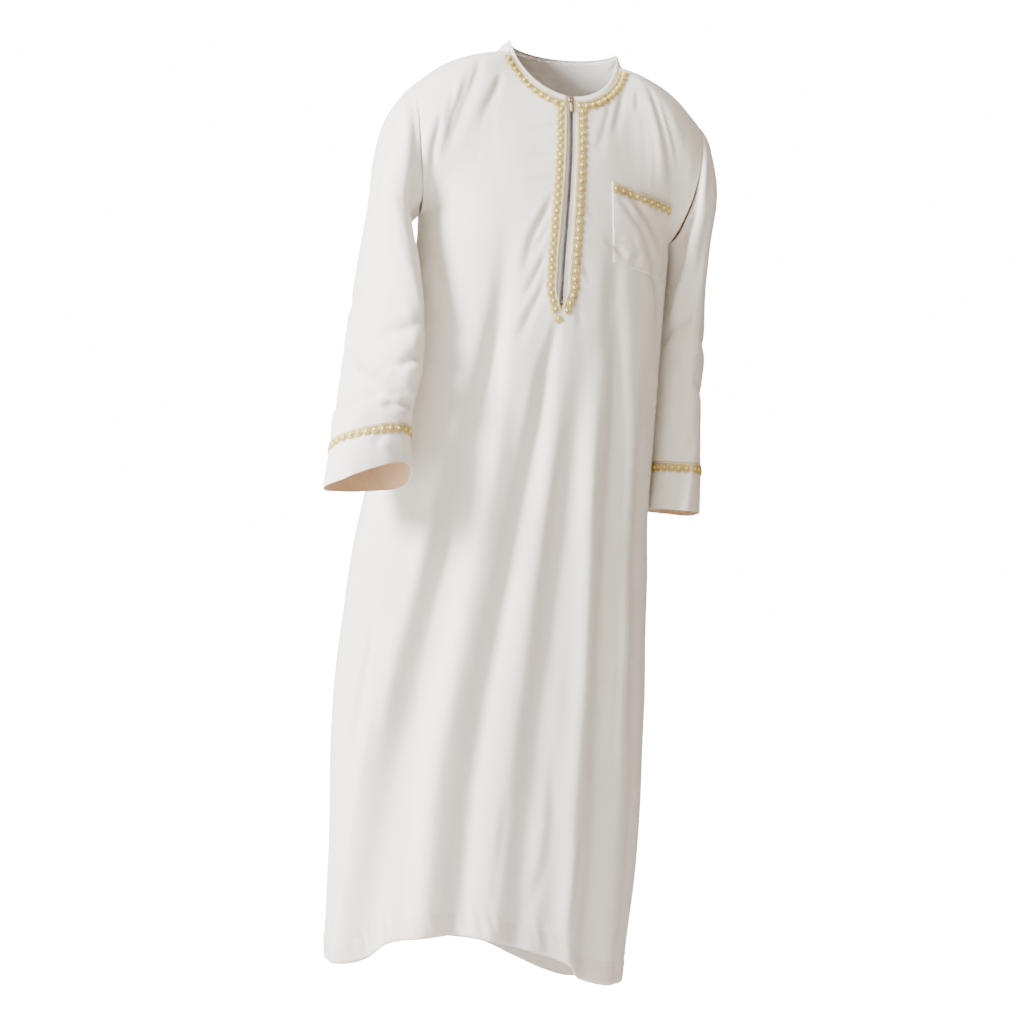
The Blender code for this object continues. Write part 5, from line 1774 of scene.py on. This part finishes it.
@dataclass
class ZipLine:
    """Middle line of the zip, from the open neck edge to the foot of the slit."""

    front: Panel

    def __post_init__(self) -> None:
        """Read both edges of the slit from the front."""
        right, left = self.front.wefts[0].points[-1], self.front.wefts[1].points[0]
        keep = left[:, 2] > SLIT_POINT_Z - 0.002
        self.right, self.left = right[keep], left[keep]
        rise = neck_rise(np.array(0.0))
        self.edges = (np.concatenate([[self.right[0] + rise], self.right]),
                      np.concatenate([[self.left[0] + rise], self.left]))
        middle = (self.edges[0] + self.edges[1]) / 2
        self.route = Route(middle, np.tile((1.0, 0.0, 0.0), (len(middle), 1)))

    @property
    def length(self) -> float:
        """Length of the slit with the neck band."""
        return self.route.length

    def frame(self, s: float) -> tuple[np.ndarray, np.ndarray, np.ndarray, np.ndarray]:
        """Point, outward normal, sideways axis and downward axis at distance s.

        Args:
            s: distance along the zip.

        Returns:
            The point and the three directions.
        """
        half = 0.004
        ahead = self.route.read(np.array([s + half]))[0][0]
        behind = self.route.read(np.array([s - half]))[0][0]
        point = self.route.read(np.array([s]))[0][0]
        down = unit(ahead - behind)
        side = np.array((1.0, 0.0, 0.0))
        normal = unit(np.cross(side, down))
        normal = -normal if normal[1] > 0 else normal
        return point, normal, side, down


@dataclass
class NeckBand:
    """Narrow bound edge round the neck, open at the zip."""

    wall: float = 0.0014

    def build(self) -> bpy.types.Object:
        """Build the band with a rolled upper edge.

        Returns:
            The object.
        """
        begin = math.degrees(math.asin(SLIT_HALF_TOP / NECK_HALF))
        angle = np.linspace(begin, 360.0 - begin, 241)[:, None]
        share = np.array((0.02, 0.10, 0.25, 0.45, 0.65, 0.82, 0.93, 1.0))[None, :]
        bulge = np.array((-0.0003, 0.0001, 0.0003, 0.0004, 0.0003, 0.0001, -0.0003, -0.0009))
        base = neck_point(angle) + neck_rise(angle) * share[..., None]
        normals = grid_normals(base, 1.0)
        away = base - base.mean(axis=(0, 1))
        away[..., 2] = 0.0
        normals = normals if np.sum(normals * away) > 0 else -normals
        u = arc_lengths(base, 0)
        pucker = 0.00022 * ripple(u, base[..., 2], 31, 0.2, 0.006, 8)
        points = base + normals * (bulge[None, :] + pucker)[..., None]
        uv = np.stack(np.broadcast_arrays(u, share * NECK_BAND), axis=-1)
        self.weft = Weft(points, uv)
        probe = np.cross(points[1, 1] - points[0, 1], points[0, 2] - points[0, 1])
        self.flip = float(probe @ normals[0, 1]) > 0
        obj = cloth_object("neck_binding", [self.weft], IVORY, self.wall, self.flip)
        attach(obj, "garment")
        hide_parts("neck_band")
        return obj

    def sew(self) -> None:
        """Sew the band along its foot."""
        sewing = Sewing(Skin([self.weft], self.flip), 0.0028)
        line = self.weft.points[:, 1]
        sewing.row(Route(line, np.tile((0.0, 0.0, 1.0), (len(line), 1))))
        sewing.finish("neck_sewing")


@dataclass
class Zip:
    """Tapes, teeth, bottom stop, slider and pull tab.

    Attributes:
        line: middle line of the zip.
        tooth_pitch: distance from tooth to tooth.
        tooth_size: width, share of the pitch and thickness of a tooth.
        tooth_side: how far a tooth stands off the middle line.
        tooth_depth: how far the teeth lie under the cloth's face.
        slider_at: distance of the slider's middle from the neck edge.
        slider_half: half of the slider's length with a little room.
        foot_room: bare stretch at the foot of the slit.
        stop_at: distance of the bottom stop from the foot.
        stop_size: radius and half thickness of the bottom stop.
        tape_marks: rows of points along a tape.
    """

    line: ZipLine
    tooth_pitch: float = 0.0019
    tooth_size: tuple[float, float, float] = (0.0034, 0.80, 0.0020)
    tooth_side: float = 0.00055
    tooth_depth: float = 0.0021
    slider_at: float = 0.0080
    slider_half: float = 0.0068
    foot_room: float = 0.0120
    stop_at: float = 0.0114
    stop_size: tuple[float, float] = (0.0027, 0.0014)
    tape_marks: int = 130

    def build(self) -> None:
        """Build the whole zip."""
        self.tapes()
        self.teeth()
        self.stop()
        self.slider()
        self.pull_tab()

    def tapes(self) -> None:
        """Woven tapes that show beside the teeth."""
        line = self.line
        for name, sign, edge in (("right", -1.0, line.edges[0]), ("left", 1.0, line.edges[1])):
            rows = []
            for s in np.linspace(0.0, line.length, self.tape_marks):
                point, normal, side = line.frame(float(s))[:3]
                out = np.array([np.interp(s, line.route.marks, edge[:, k]) for k in range(3)])
                offsets = (0.0026, 0.0033, 0.0046, 0.0062)
                deep = WALL + 0.0006
                row = [point + side * sign * x - normal * (deep - (0.0006 if k < 2 else 0.0))
                       for k, x in enumerate(offsets)]
                under = deep + 0.0002
                row += [out + side * sign * x - normal * under for x in (-0.0002, 0.0025, 0.0060)]
                rows.append(row)
            points = np.array(rows)
            u, v = arc_lengths(points, 1), arc_lengths(points, 0)
            weft = Weft(points, np.stack([u, v], axis=-1))
            probe = np.cross(points[5, 1] - points[5, 0], points[6, 0] - points[5, 0])
            obj = cloth_object(f"tape_{name}", [weft], TAPE, 0.0008, float(probe[1]) > 0)
            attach(obj, "garment")
            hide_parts(f"zip_tape_{name}")

    def teeth(self) -> None:
        """Closed teeth, one from each side in turn."""
        line = self.line
        bm = bmesh.new()
        start, end = self.slider_at + self.slider_half, line.length - self.foot_room
        width, share, thick = self.tooth_size
        count = int((end - start) / self.tooth_pitch)
        for k in range(count):
            s = start + (k + 0.5) * self.tooth_pitch
            point, normal, side, down = line.frame(s)
            sign = -1.0 if k % 2 else 1.0
            made = bmesh.ops.create_cube(bm, size=1.0)["verts"]
            edges = list({edge for vert in made for edge in vert.link_edges})
            made = bmesh.ops.bevel(bm, geom=edges, offset=0.16, segments=1, profile=0.5,
                                   affect="EDGES", material=-1, offset_type="OFFSET")["verts"]
            middle = point + side * sign * self.tooth_side - normal * self.tooth_depth
            axes = Matrix((side * width, down * self.tooth_pitch * share, normal * thick)).transposed()
            place = Matrix.Translation(Vector(middle)) @ axes.to_4x4()
            verts = {vert for vert in made if vert.is_valid}
            bmesh.ops.transform(bm, matrix=place, verts=list(verts))
        bmesh.ops.recalc_face_normals(bm, faces=bm.faces)
        obj = mesh_object("zip_teeth", bm, DARK_METAL)
        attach(obj, "garment")
        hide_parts("zip_chain")

    def plate(self, bm: bmesh.types.BMesh, outline: list[tuple[float, float]], low: float, high: float,
              frame: tuple, soften: float) -> None:
        """Add a plate to a bmesh.

        Args:
            bm: mesh to add to.
            outline: corners as sideways and downward distances.
            low: height of its back.
            high: height of its front.
            frame: point, normal, sideways and downward axes.
            soften: size of its bevels.
        """
        point, normal, side, down = frame
        verts = [bm.verts.new(point + side * x + down * y + normal * low) for x, y in outline]
        face = bm.faces.new(verts)
        made = bmesh.ops.extrude_face_region(bm, geom=[face])["geom"]
        moved = [item for item in made if isinstance(item, bmesh.types.BMVert)]
        bmesh.ops.translate(bm, verts=moved, vec=Vector(normal * (high - low)))
        everything = verts + moved
        edges = list({edge for vert in everything for edge in vert.link_edges})
        bmesh.ops.bevel(bm, geom=edges, offset=soften, segments=2, profile=0.5,
                        affect="EDGES", material=-1)

    def stop(self) -> None:
        """Dark round stop at the foot of the teeth."""
        point, normal, side, down = self.line.frame(self.line.length - self.stop_at + 0.0030)
        bm = bmesh.new()
        radius, half = self.stop_size
        axes = Matrix((side * radius, down * radius, normal * half)).transposed()
        place = Matrix.Translation(Vector(point - normal * half)) @ axes.to_4x4()
        bmesh.ops.create_uvsphere(bm, u_segments=20, v_segments=12, radius=1.0, matrix=place)
        bmesh.ops.recalc_face_normals(bm, faces=bm.faces)
        obj = mesh_object("zip_end_stop", bm, DARK_METAL)
        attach(obj, "garment")
        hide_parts("zip_bottom_stop")

    def slider(self) -> None:
        """Slider of two plates, with the bridge that holds the pull tab."""
        frame = self.line.frame(self.slider_at)
        point, normal, _, down = frame
        bm = bmesh.new()
        wide = [(-0.0030, 0.0062), (-0.0045, 0.0024), (-0.0045, -0.0040), (-0.0034, -0.0062),
                (0.0034, -0.0062), (0.0045, -0.0040), (0.0045, 0.0024), (0.0030, 0.0062)]
        self.plate(bm, wide, -0.0016, -0.0004, frame, 0.00028)
        rear = [(x * 0.93, y) for x, y in wide]
        self.plate(bm, rear, -0.0048, -0.0037, frame, 0.00025)
        web = [(-0.0020, 0.0060), (-0.0020, -0.0060), (0.0020, -0.0060), (0.0020, 0.0060)]
        self.plate(bm, web, -0.0040, -0.0012, frame, 0.0002)
        arch = ((-0.0050, -0.0010), (-0.0050, 0.0018), (-0.0042, 0.0028), (-0.0030, 0.0032),
                (0.0030, 0.0032), (0.0042, 0.0028), (0.0050, 0.0018), (0.0050, -0.0010))
        line = np.array([point + down * y + normal * z for y, z in arch])
        mesh = tube(resample(line, 26), 0.00085)
        bm.from_mesh(mesh)
        bmesh.ops.recalc_face_normals(bm, faces=bm.faces)
        obj = mesh_object("zip_runner", bm, OLD_BRASS)
        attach(obj, "garment")
        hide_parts("zip_slider")

    def pull_tab(self) -> None:
        """Pull tab that hangs from the bridge by its pin."""
        lo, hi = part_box("zip_pull_tab")
        cad = bpy.data.objects["zip_pull_tab"]
        corners = np.array([tuple(cad.matrix_world @ vert.co) for vert in cad.data.vertices])
        centre = corners.mean(axis=0)
        axes = np.linalg.eigh(np.cov((corners - centre).T))[1]
        down, side, normal = axes[:, 2], axes[:, 1], axes[:, 0]
        down = -down if down[2] > 0 else down
        side = -side if side[0] < 0 else side
        normal = -normal if normal[1] > 0 else normal
        spread = (corners - centre) @ down
        low, high = float(spread.min()), float(spread.max())
        middle = float(((corners - centre) @ side).mean())
        depth = (corners - centre) @ normal
        frame = (centre + down * low + side * middle + normal * float((depth.max() + depth.min()) / 2),
                 normal, side, down)
        span = high - low
        log.info("tab %.4f long, box %s %s", span, lo, hi)
        bm = bmesh.new()
        body = [(-0.0026, 0.0050), (-0.0034, 0.0068), (-0.0034, span - 0.0042), (-0.0028, span - 0.0018),
                (-0.0014, span - 0.0003), (0.0014, span - 0.0003), (0.0028, span - 0.0018),
                (0.0034, span - 0.0042), (0.0034, 0.0068), (0.0026, 0.0050)]
        half = 0.00052
        self.plate(bm, body, -half, half, frame, 0.00022)
        for sign in (-1.0, 1.0):
            leg = [(sign * 0.0027, 0.0002), (sign * 0.0027, 0.0056),
                   (sign * 0.0016, 0.0056), (sign * 0.0016, 0.0002)]
            self.plate(bm, leg, -half, half, frame, 0.0002)
        pin = [(-0.0020, 0.0001), (-0.0020, 0.0011), (0.0020, 0.0011), (0.0020, 0.0001)]
        self.plate(bm, pin, -0.00045, 0.00045, frame, 0.0002)
        rim = np.array([frame[0] + side * x + down * y + normal * 0.00045 for x, y in
                        ((-0.0022, 0.0078), (-0.0022, span - 0.0046), (-0.0012, span - 0.0024),
                         (0.0012, span - 0.0024), (0.0022, span - 0.0046), (0.0022, 0.0078))])
        mesh = tube(resample(rim, 40), 0.00022, True)
        bm.from_mesh(mesh)
        bmesh.ops.recalc_face_normals(bm, faces=bm.faces)
        obj = mesh_object("zip_tab", bm, OLD_BRASS)
        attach(obj, "zip_pull")
        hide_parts("zip_pull_tab")


def resample(line: np.ndarray, count: int) -> np.ndarray:
    """Points spaced evenly along a line.

    Args:
        line: points of the line.
        count: how many points.

    Returns:
        The new points.
    """
    marks = np.concatenate([[0.0], np.cumsum(np.linalg.norm(np.diff(line, axis=0), axis=1))])
    at = np.linspace(0.0, marks[-1], count)
    return np.stack([np.interp(at, marks, line[:, k]) for k in range(3)], axis=-1)


@dataclass
class FrontTrim:
    """Braid from each shoulder seam round the front neck and down beside the zip.

    Attributes:
        front: front panel.
        line: middle line of the zip.
        inset: distance of the braid's inner edge from the seam.
        middle: distance from that edge to the middles of the ornaments.
        probes: points at which the neck part is measured.
    """

    front: Panel
    line: ZipLine
    inset: float = -0.0002
    middle: float = 0.0098
    probes: int = 200

    def route(self, sign: float) -> tuple[Route, float]:
        """Inner edge of one braid and the distance of its corner.

        Args:
            sign: -1 for the wearer's right, 1 for the left.

        Returns:
            The route and the distance where the neck part ends.
        """
        corner_x = SLIT_HALF_TOP + self.inset
        last = math.degrees(math.asin(corner_x / NECK_HALF))
        angle = np.linspace(NECK_SEAM_ANGLE - BRAID_START, last, 90)
        base = neck_point(angle)
        tangent = unit(neck_point(angle - 1.0) - neck_point(angle + 1.0))
        go = read_table(FRONT_START, angle / NECK_SEAM_ANGLE * COL_NECK)[:, :3]
        go = unit(go - tangent * np.sum(go * tangent, axis=1, keepdims=True))
        mirror = np.array((sign, 1.0, 1.0))
        neck = (base + go * self.inset) * mirror
        neck_across = go * mirror
        edge = self.line.left if sign > 0 else self.line.right
        side = np.array((sign, 0.0, 0.0))
        edge = edge[edge[:, 2] < edge[0, 2] - 0.0012]
        placket = edge + side * self.inset
        points = np.concatenate([neck, placket])
        across = np.concatenate([neck_across, np.tile(side, (len(placket), 1))])
        corner = float(np.linalg.norm(np.diff(neck, axis=0), axis=1).sum())
        return Route(points, across), corner

    def build(self, skin: Skin) -> None:
        """Build both braids; the right one carries the ornament at the foot.

        Args:
            skin: cloth that it is sewn to.
        """
        for name, sign in (("right", -1.0), ("left", 1.0)):
            route, corner = self.route(sign)
            braid = Braid(skin)
            bm = bmesh.new()
            braid.cords(bm, route, BRAID_CORDS)
            centre = Route(route.points + route.across * self.middle, route.across)
            probe = np.linspace(0.0, corner - 0.0030, self.probes)
            points, across = route.read(probe)[:2]
            outer = np.linalg.norm(np.diff(points + across * self.middle, axis=0), axis=1)
            count = int(round((outer.sum() - BRAID_PITCH * 0.5) / BRAID_PITCH))
            along = np.concatenate([[0.0], np.cumsum(outer)])
            want = BRAID_PITCH * 0.55 + (outer.sum() - BRAID_PITCH * 0.55) * np.arange(count + 1) / count
            braid.motifs(bm, route, np.interp(want, along, probe), self.middle)
            first = corner + 0.0016 + BRAID_WIDTH * 0.5 + BRAID_PITCH * 0.62
            foot = route.length + 0.0002
            count = int(round((foot - first) / BRAID_PITCH))
            braid.motifs(bm, route, np.linspace(first, foot, count + 1), self.middle)
            if sign < 0:
                self.foot(bm, braid)
            braid.finish(bm, f"gold_braid_{name}", f"braid_front_{name}")
            log.info("braid %s, %d ornaments beside the zip, middle line %.3f", name, count, centre.length)

    def foot(self, bm: bmesh.types.BMesh, braid: Braid) -> None:
        """Ornament below the point of the slit.

        Args:
            bm: mesh to add to.
            braid: braid that takes the ornament.
        """
        low = self.line.left[-1] * np.array((0.0, 1.0, 1.0))
        point = low + np.array((0.0005, 0.0, -0.0140))
        stamper = Stamper(braid.skin, motif_shape())
        stamper.stamp(bm, point, np.array((1.0, 0.0, 0.0)), np.array((0.0, 0.0, -1.0)), 1.0, braid.lift)


@dataclass
class Cuff:
    """Braid and sewn hem of one sleeve.

    Attributes:
        sleeve: the sleeve.
        name: right or left.
        middle: distance from the braid's upper edge to the middles of the ornaments.
        sewn_at: distances of the two rows of stitches from the edge.
        points: points round the sleeve.
    """

    sleeve: Sleeve
    name: str
    middle: float = 0.0092
    sewn_at: tuple[float, float] = (0.0250, 0.0018)
    points: int = 180

    def ring_route(self, above: float) -> Route:
        """Route round the sleeve at a distance above its edge.

        Args:
            above: distance above the edge.

        Returns:
            The closed route.
        """
        table = self.sleeve.table
        rows = read_table(table, np.array([0.75, 1.0]))[:, :3]
        last = float(np.linalg.norm(rows[1] - rows[0]))
        angle = np.linspace(0.0, 360.0, self.points + 1)[:-1]
        high = self.sleeve.ring(1.0 - 0.25 * above / last, angle)
        low = self.sleeve.ring(min(1.0 - 0.25 * (above - 0.002) / last, 1.0), angle)
        return Route(high, unit(low - high), closed=True)

    def build(self) -> None:
        """Build the braid and the stitches."""
        skin = self.sleeve.skin()
        braid = Braid(skin)
        bm = bmesh.new()
        route = self.ring_route(CUFF_RISE + BRAID_WIDTH * 0.92)
        braid.cords(bm, route, BRAID_CORDS)
        count = int(round(route.length / BRAID_PITCH))
        marks = route.length * (np.arange(count) + 0.5) / count
        braid.motifs(bm, route, marks, self.middle)
        braid.finish(bm, f"gold_cuff_{self.name}", f"braid_cuff_{self.name}")
        sewing = Sewing(skin)
        for above in self.sewn_at:
            sewing.row(self.ring_route(above))
        sewing.finish(f"cuff_sewing_{self.name}")


@dataclass
class Pocket:
    """Chest pocket with a turned top, braid along it and sewn edges.

    Attributes:
        skin: cloth that it lies on.
        corners: upper inner, upper outer, lower inner and lower outer corner, seen from the front.
        wall: thickness shown.
        fold: depth of the turned top, where its stitches run.
        middle: distance from the top to the middles of the ornaments.
    """

    skin: Skin
    corners: tuple = ((0.067, -0.203), (0.174, -0.222), (0.081, -0.324), (0.170, -0.336))
    wall: float = 0.0008
    fold: float = 0.0255
    middle: float = 0.0086

    def flat(self, s: np.ndarray, t: np.ndarray) -> np.ndarray:
        """Places seen from the front, s across from the middle outward and t down.

        Args:
            s: share of the width, from the middle outward.
            t: share of the height, downward.

        Returns:
            Places as (x, z).
        """
        a, b, c, d = (np.array(corner) for corner in self.corners)
        s, t = s[..., None], t[..., None]
        return (a * (1 - s) + b * s) * (1 - t) + (c * (1 - s) + d * s) * t

    def build(self) -> None:
        """Build the pocket, its braid and its stitches."""
        n, m = 64, 72
        s, t = np.meshgrid(np.linspace(0, 1, n), np.linspace(0, 1, m), indexing="ij")
        flat = self.flat(s, t)
        points = np.zeros((n, m, 3))
        normals = np.zeros((n, m, 3))
        for i in range(n):
            for j in range(m):
                at = Vector((flat[i, j, 0], -0.5, flat[i, j, 1]))
                points[i, j], normals[i, j] = self.skin.tree.ray_cast(at, Vector((0.0, 1.0, 0.0)))[:2]
        u, v = arc_lengths(points, 0), arc_lengths(points, 1)
        wide, tall = u[-1:], v[:, -1:]
        edge = np.minimum(np.minimum(u, wide - u), tall - v)
        loose = np.exp(-v / 0.010)
        move = 0.0007 + self.wall + 0.0010 * loose * np.sin(math.pi * s) ** 0.6
        move -= 0.0009 * np.exp(-edge / 0.0016) * (1 - 0.8 * np.exp(-v / 0.006))
        move += 0.0006 * soft_step(0.027, 0.025, v)
        move -= 0.0005 * np.exp(-((v - self.fold) / 0.0013) ** 2)
        inner = soft_step(0.0, 0.012, edge)
        move += 0.0009 * ripple(points[..., 0], points[..., 2], 61, 0.10, 0.035) * inner
        gather = np.exp(-edge / 0.006) * 0.00035
        move += gather * ripple(u + v, v - u, 62, 0.02, 0.010, 10)
        for crease in (
            Crease(Plane.FRONT, ((0.092, -0.236), (0.130, -0.268), (0.158, -0.318)), 0.0070, -0.0022),
            Crease(Plane.FRONT, ((0.120, -0.244), (0.150, -0.270), (0.166, -0.296)), 0.0055, -0.0018),
            Crease(Plane.FRONT, ((0.078, -0.300), (0.100, -0.312)), 0.0050, -0.0012),
            Crease(Plane.FRONT, ((0.110, -0.330), (0.126, -0.300)), 0.0060, -0.0010),
        ):
            move += crease.move(points, normals) * inner
        points = points + normals * move[..., None]
        weft = Weft(points, np.stack([u, -v], axis=-1))
        probe = np.cross(points[5, 6] - points[5, 5], points[6, 5] - points[5, 5])
        flip = float(probe @ normals[5, 5]) < 0
        obj = cloth_object("pocket_patch", [weft], POCKET_CLOTH, self.wall, flip)
        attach(obj, "garment")
        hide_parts("chest_pocket")
        top = Skin([weft], flip)
        self.trim(top, points, v)

    def trim(self, top: Skin, points: np.ndarray, v: np.ndarray) -> None:
        """Braid and stitches of the pocket.

        Args:
            top: outer face of the pocket.
            points: its grid.
            v: distances down.
        """
        line, under = points[:, 0], unit(points[:, 6] - points[:, 0])
        route = Route(line + under * 0.0006, under)
        braid = Braid(top)
        bm = bmesh.new()
        braid.cords(bm, route, (0.0008, 0.0022, 0.0034), 0.0010, route.length - 0.0010)
        count = int(round((route.length - 0.008) / BRAID_PITCH))
        marks = 0.0056 + (route.length - 0.0112) * np.arange(count) / (count - 1)
        braid.motifs(bm, route, marks, self.middle)
        braid.finish(bm, "gold_braid_pocket", "braid_pocket")
        sewing = Sewing(top)
        count = 200
        down = np.tile((0.0, 0.0, -1.0), (count, 1))
        for i in (1, -2):
            inside = points[i] + unit(points[2 * i] - points[i]) * 0.0004
            sewing.row(Route(resample(inside, count), down), 0.0180)
        fold_row = int(np.argmin(np.abs(v[20] - self.fold)))
        for j in (-2, fold_row):
            sewing.row(Route(resample(points[1:-1, j], count), down))
        sewing.finish("pocket_sewing")


@dataclass
class BodySewing:
    """Hem stitches of one panel.

    Attributes:
        panel: front or back.
        name: its name.
    """

    panel: Panel
    name: str

    def build(self) -> None:
        """Sew the hem of one panel."""
        skin = self.panel.skin()
        sewing = Sewing(skin)
        col = np.linspace(-0.992, 0.992, 260)
        z = hem_height(col, self.panel.side) + HEM_DEPTH
        points = body_point(col, z, self.panel.side)
        sewing.row(Route(points, np.tile((0.0, 0.0, -1.0), (len(col), 1))))
        sewing.finish(f"hem_sewing_{self.name}")


class Studio:
    """Floor, light and camera."""

    FLOOR_Z = -1.545
    AZIMUTH = -14.0
    DISTANCE = 4.2
    HEIGHT = -0.78
    ROLL = 5.5125
    FOCAL_PX = 2730.0
    CENTRE_PX = (514.0, 557.5)
    IMAGE = 1024

    def build(self) -> None:
        """Set up floor, lights and camera."""
        self.floor()
        self.world()
        self.lamps()
        self.camera()

    def floor(self) -> None:
        """Wide pale floor."""
        bm = bmesh.new()
        bmesh.ops.create_grid(bm, x_segments=2, y_segments=2, size=30.0)
        bmesh.ops.translate(bm, verts=bm.verts, vec=(0.0, 0.0, self.FLOOR_Z))
        mesh = free_mesh("floor", bm)
        mat, nb, shader = new_material("pale_floor")
        shader.inputs["Base Color"].default_value = (0.90, 0.88, 0.86, 1.0)
        shader.inputs["Roughness"].default_value = 0.9
        shader.inputs["Emission Strength"].default_value = 18.0
        path = nb.add("ShaderNodeLightPath")
        black, white = (0.0, 0.0, 0.0), (1.0, 1.0, 1.0)
        nb.blend(black, white, path.outputs["Is Camera Ray"], shader.inputs["Emission Color"])
        mesh.materials.append(mat)
        link(bpy.data.objects.new("floor", mesh))

    def world(self) -> None:
        """Even white surroundings."""
        world = bpy.data.worlds.new("white_room")
        world.use_nodes = True
        nb = NodeBuilder(world.node_tree)
        back = world.node_tree.nodes["Background"]
        back.inputs["Color"].default_value = (1.0, 0.70, 0.45, 1.0)
        back.inputs["Strength"].default_value = 0.38
        seen = nb.add("ShaderNodeBackground")
        seen.inputs["Strength"].default_value = 20.0
        path = nb.add("ShaderNodeLightPath")
        mix = nb.add("ShaderNodeMixShader")
        nb.join(path.outputs["Is Camera Ray"], mix.inputs[0])
        nb.join(back.outputs[0], mix.inputs[1])
        nb.join(seen.outputs[0], mix.inputs[2])
        nb.join(mix.outputs[0], world.node_tree.nodes["World Output"].inputs["Surface"])
        bpy.context.scene.world = world

    def lamps(self) -> None:
        """Large soft lamps: key from the upper left, weak fill, light from above."""
        for name, place, size, power, colour in (
            ("key", (-4.45, -1.25, 0.9), 1.4, 1150.0, (0.93, 0.97, 1.0)),
            ("front", (-2.0, -4.2, 1.2), 2.4, 62.0, (0.97, 0.98, 1.0)),
            ("above", (-0.2, -0.7, 2.2), 0.8, 42.0, (1.0, 0.97, 0.95)),
        ):
            lamp = bpy.data.lights.new(name, "AREA")
            lamp.shape = "SQUARE"
            lamp.size = size
            lamp.energy = power
            lamp.color = colour
            obj = link(bpy.data.objects.new(name, lamp))
            obj.location = place
            aim = Vector((0.0, 0.0, -0.65)) - Vector(place)
            obj.rotation_mode = "QUATERNION"
            obj.rotation_quaternion = aim.to_track_quat("-Z", "Y")

    def camera(self) -> None:
        """Camera at the photo's place, with its slight roll."""
        az, roll = math.radians(self.AZIMUTH), math.radians(self.ROLL)
        back = Vector((math.sin(az), -math.cos(az), 0.0))
        level = Vector((math.cos(az), math.sin(az), 0.0))
        up = Vector((0.0, 0.0, 1.0))
        right = level * math.cos(roll) + up * math.sin(roll)
        high = -level * math.sin(roll) + up * math.cos(roll)
        data = bpy.data.cameras.new("camera")
        data.sensor_width = 36.0
        data.lens = self.FOCAL_PX * 36.0 / self.IMAGE
        data.shift_x = (self.IMAGE / 2 - self.CENTRE_PX[0]) / self.IMAGE
        data.shift_y = (self.CENTRE_PX[1] - self.IMAGE / 2) / self.IMAGE
        obj = link(bpy.data.objects.new("camera", data))
        turn = Matrix((right, high, back)).transposed()
        place = back * self.DISTANCE + up * self.HEIGHT
        obj.matrix_world = Matrix.Translation(place) @ turn.to_4x4()
        bpy.context.scene.camera = obj


def declare_cloth(obj: bpy.types.Object, node: str) -> None:
    """Tie a cloth piece to the frame and state its cut.

    Args:
        obj: the cloth.
        node: solid that it stands for.
    """
    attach(obj, "garment")
    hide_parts(node)


def main() -> None:
    """Build and dress the kaftan, then light and frame it."""
    logging.basicConfig(level=logging.INFO, format="%(name)s: %(message)s")
    for obj in list(bpy.data.objects):
        bpy.data.objects.remove(obj, do_unlink=True)
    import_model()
    front = Panel(Side.FRONT, 84, 70, 190)
    declare_cloth(front.build("front_cloth"), "front_panel")
    log.info("front cloth")
    back = Panel(Side.BACK, 60, 60, 150)
    declare_cloth(back.build("back_cloth"), "back_panel")
    log.info("back cloth")
    for name, table, sign in (("right", SLEEVE_RIGHT, -1.0), ("left", SLEEVE_LEFT, 1.0)):
        sleeve = Sleeve(table, sign, seed=20 if sign < 0 else 26)
        declare_cloth(sleeve.build(f"sleeve_{name}_cloth"), f"sleeve_{name}")
        Cuff(sleeve, name).build()
        log.info("sleeve %s", name)
    band = NeckBand()
    band.build()
    band.sew()
    log.info("neck band")
    line = ZipLine(front)
    Zip(line).build()
    log.info("zip")
    skin = front.skin()
    FrontTrim(front, line).build(skin)
    log.info("front braid")
    Pocket(skin).build()
    log.info("pocket")
    BodySewing(front, "front").build()
    BodySewing(back, "back").build()
    log.info("hems")
    Studio().build()


if __name__ == "__main__":
    main()
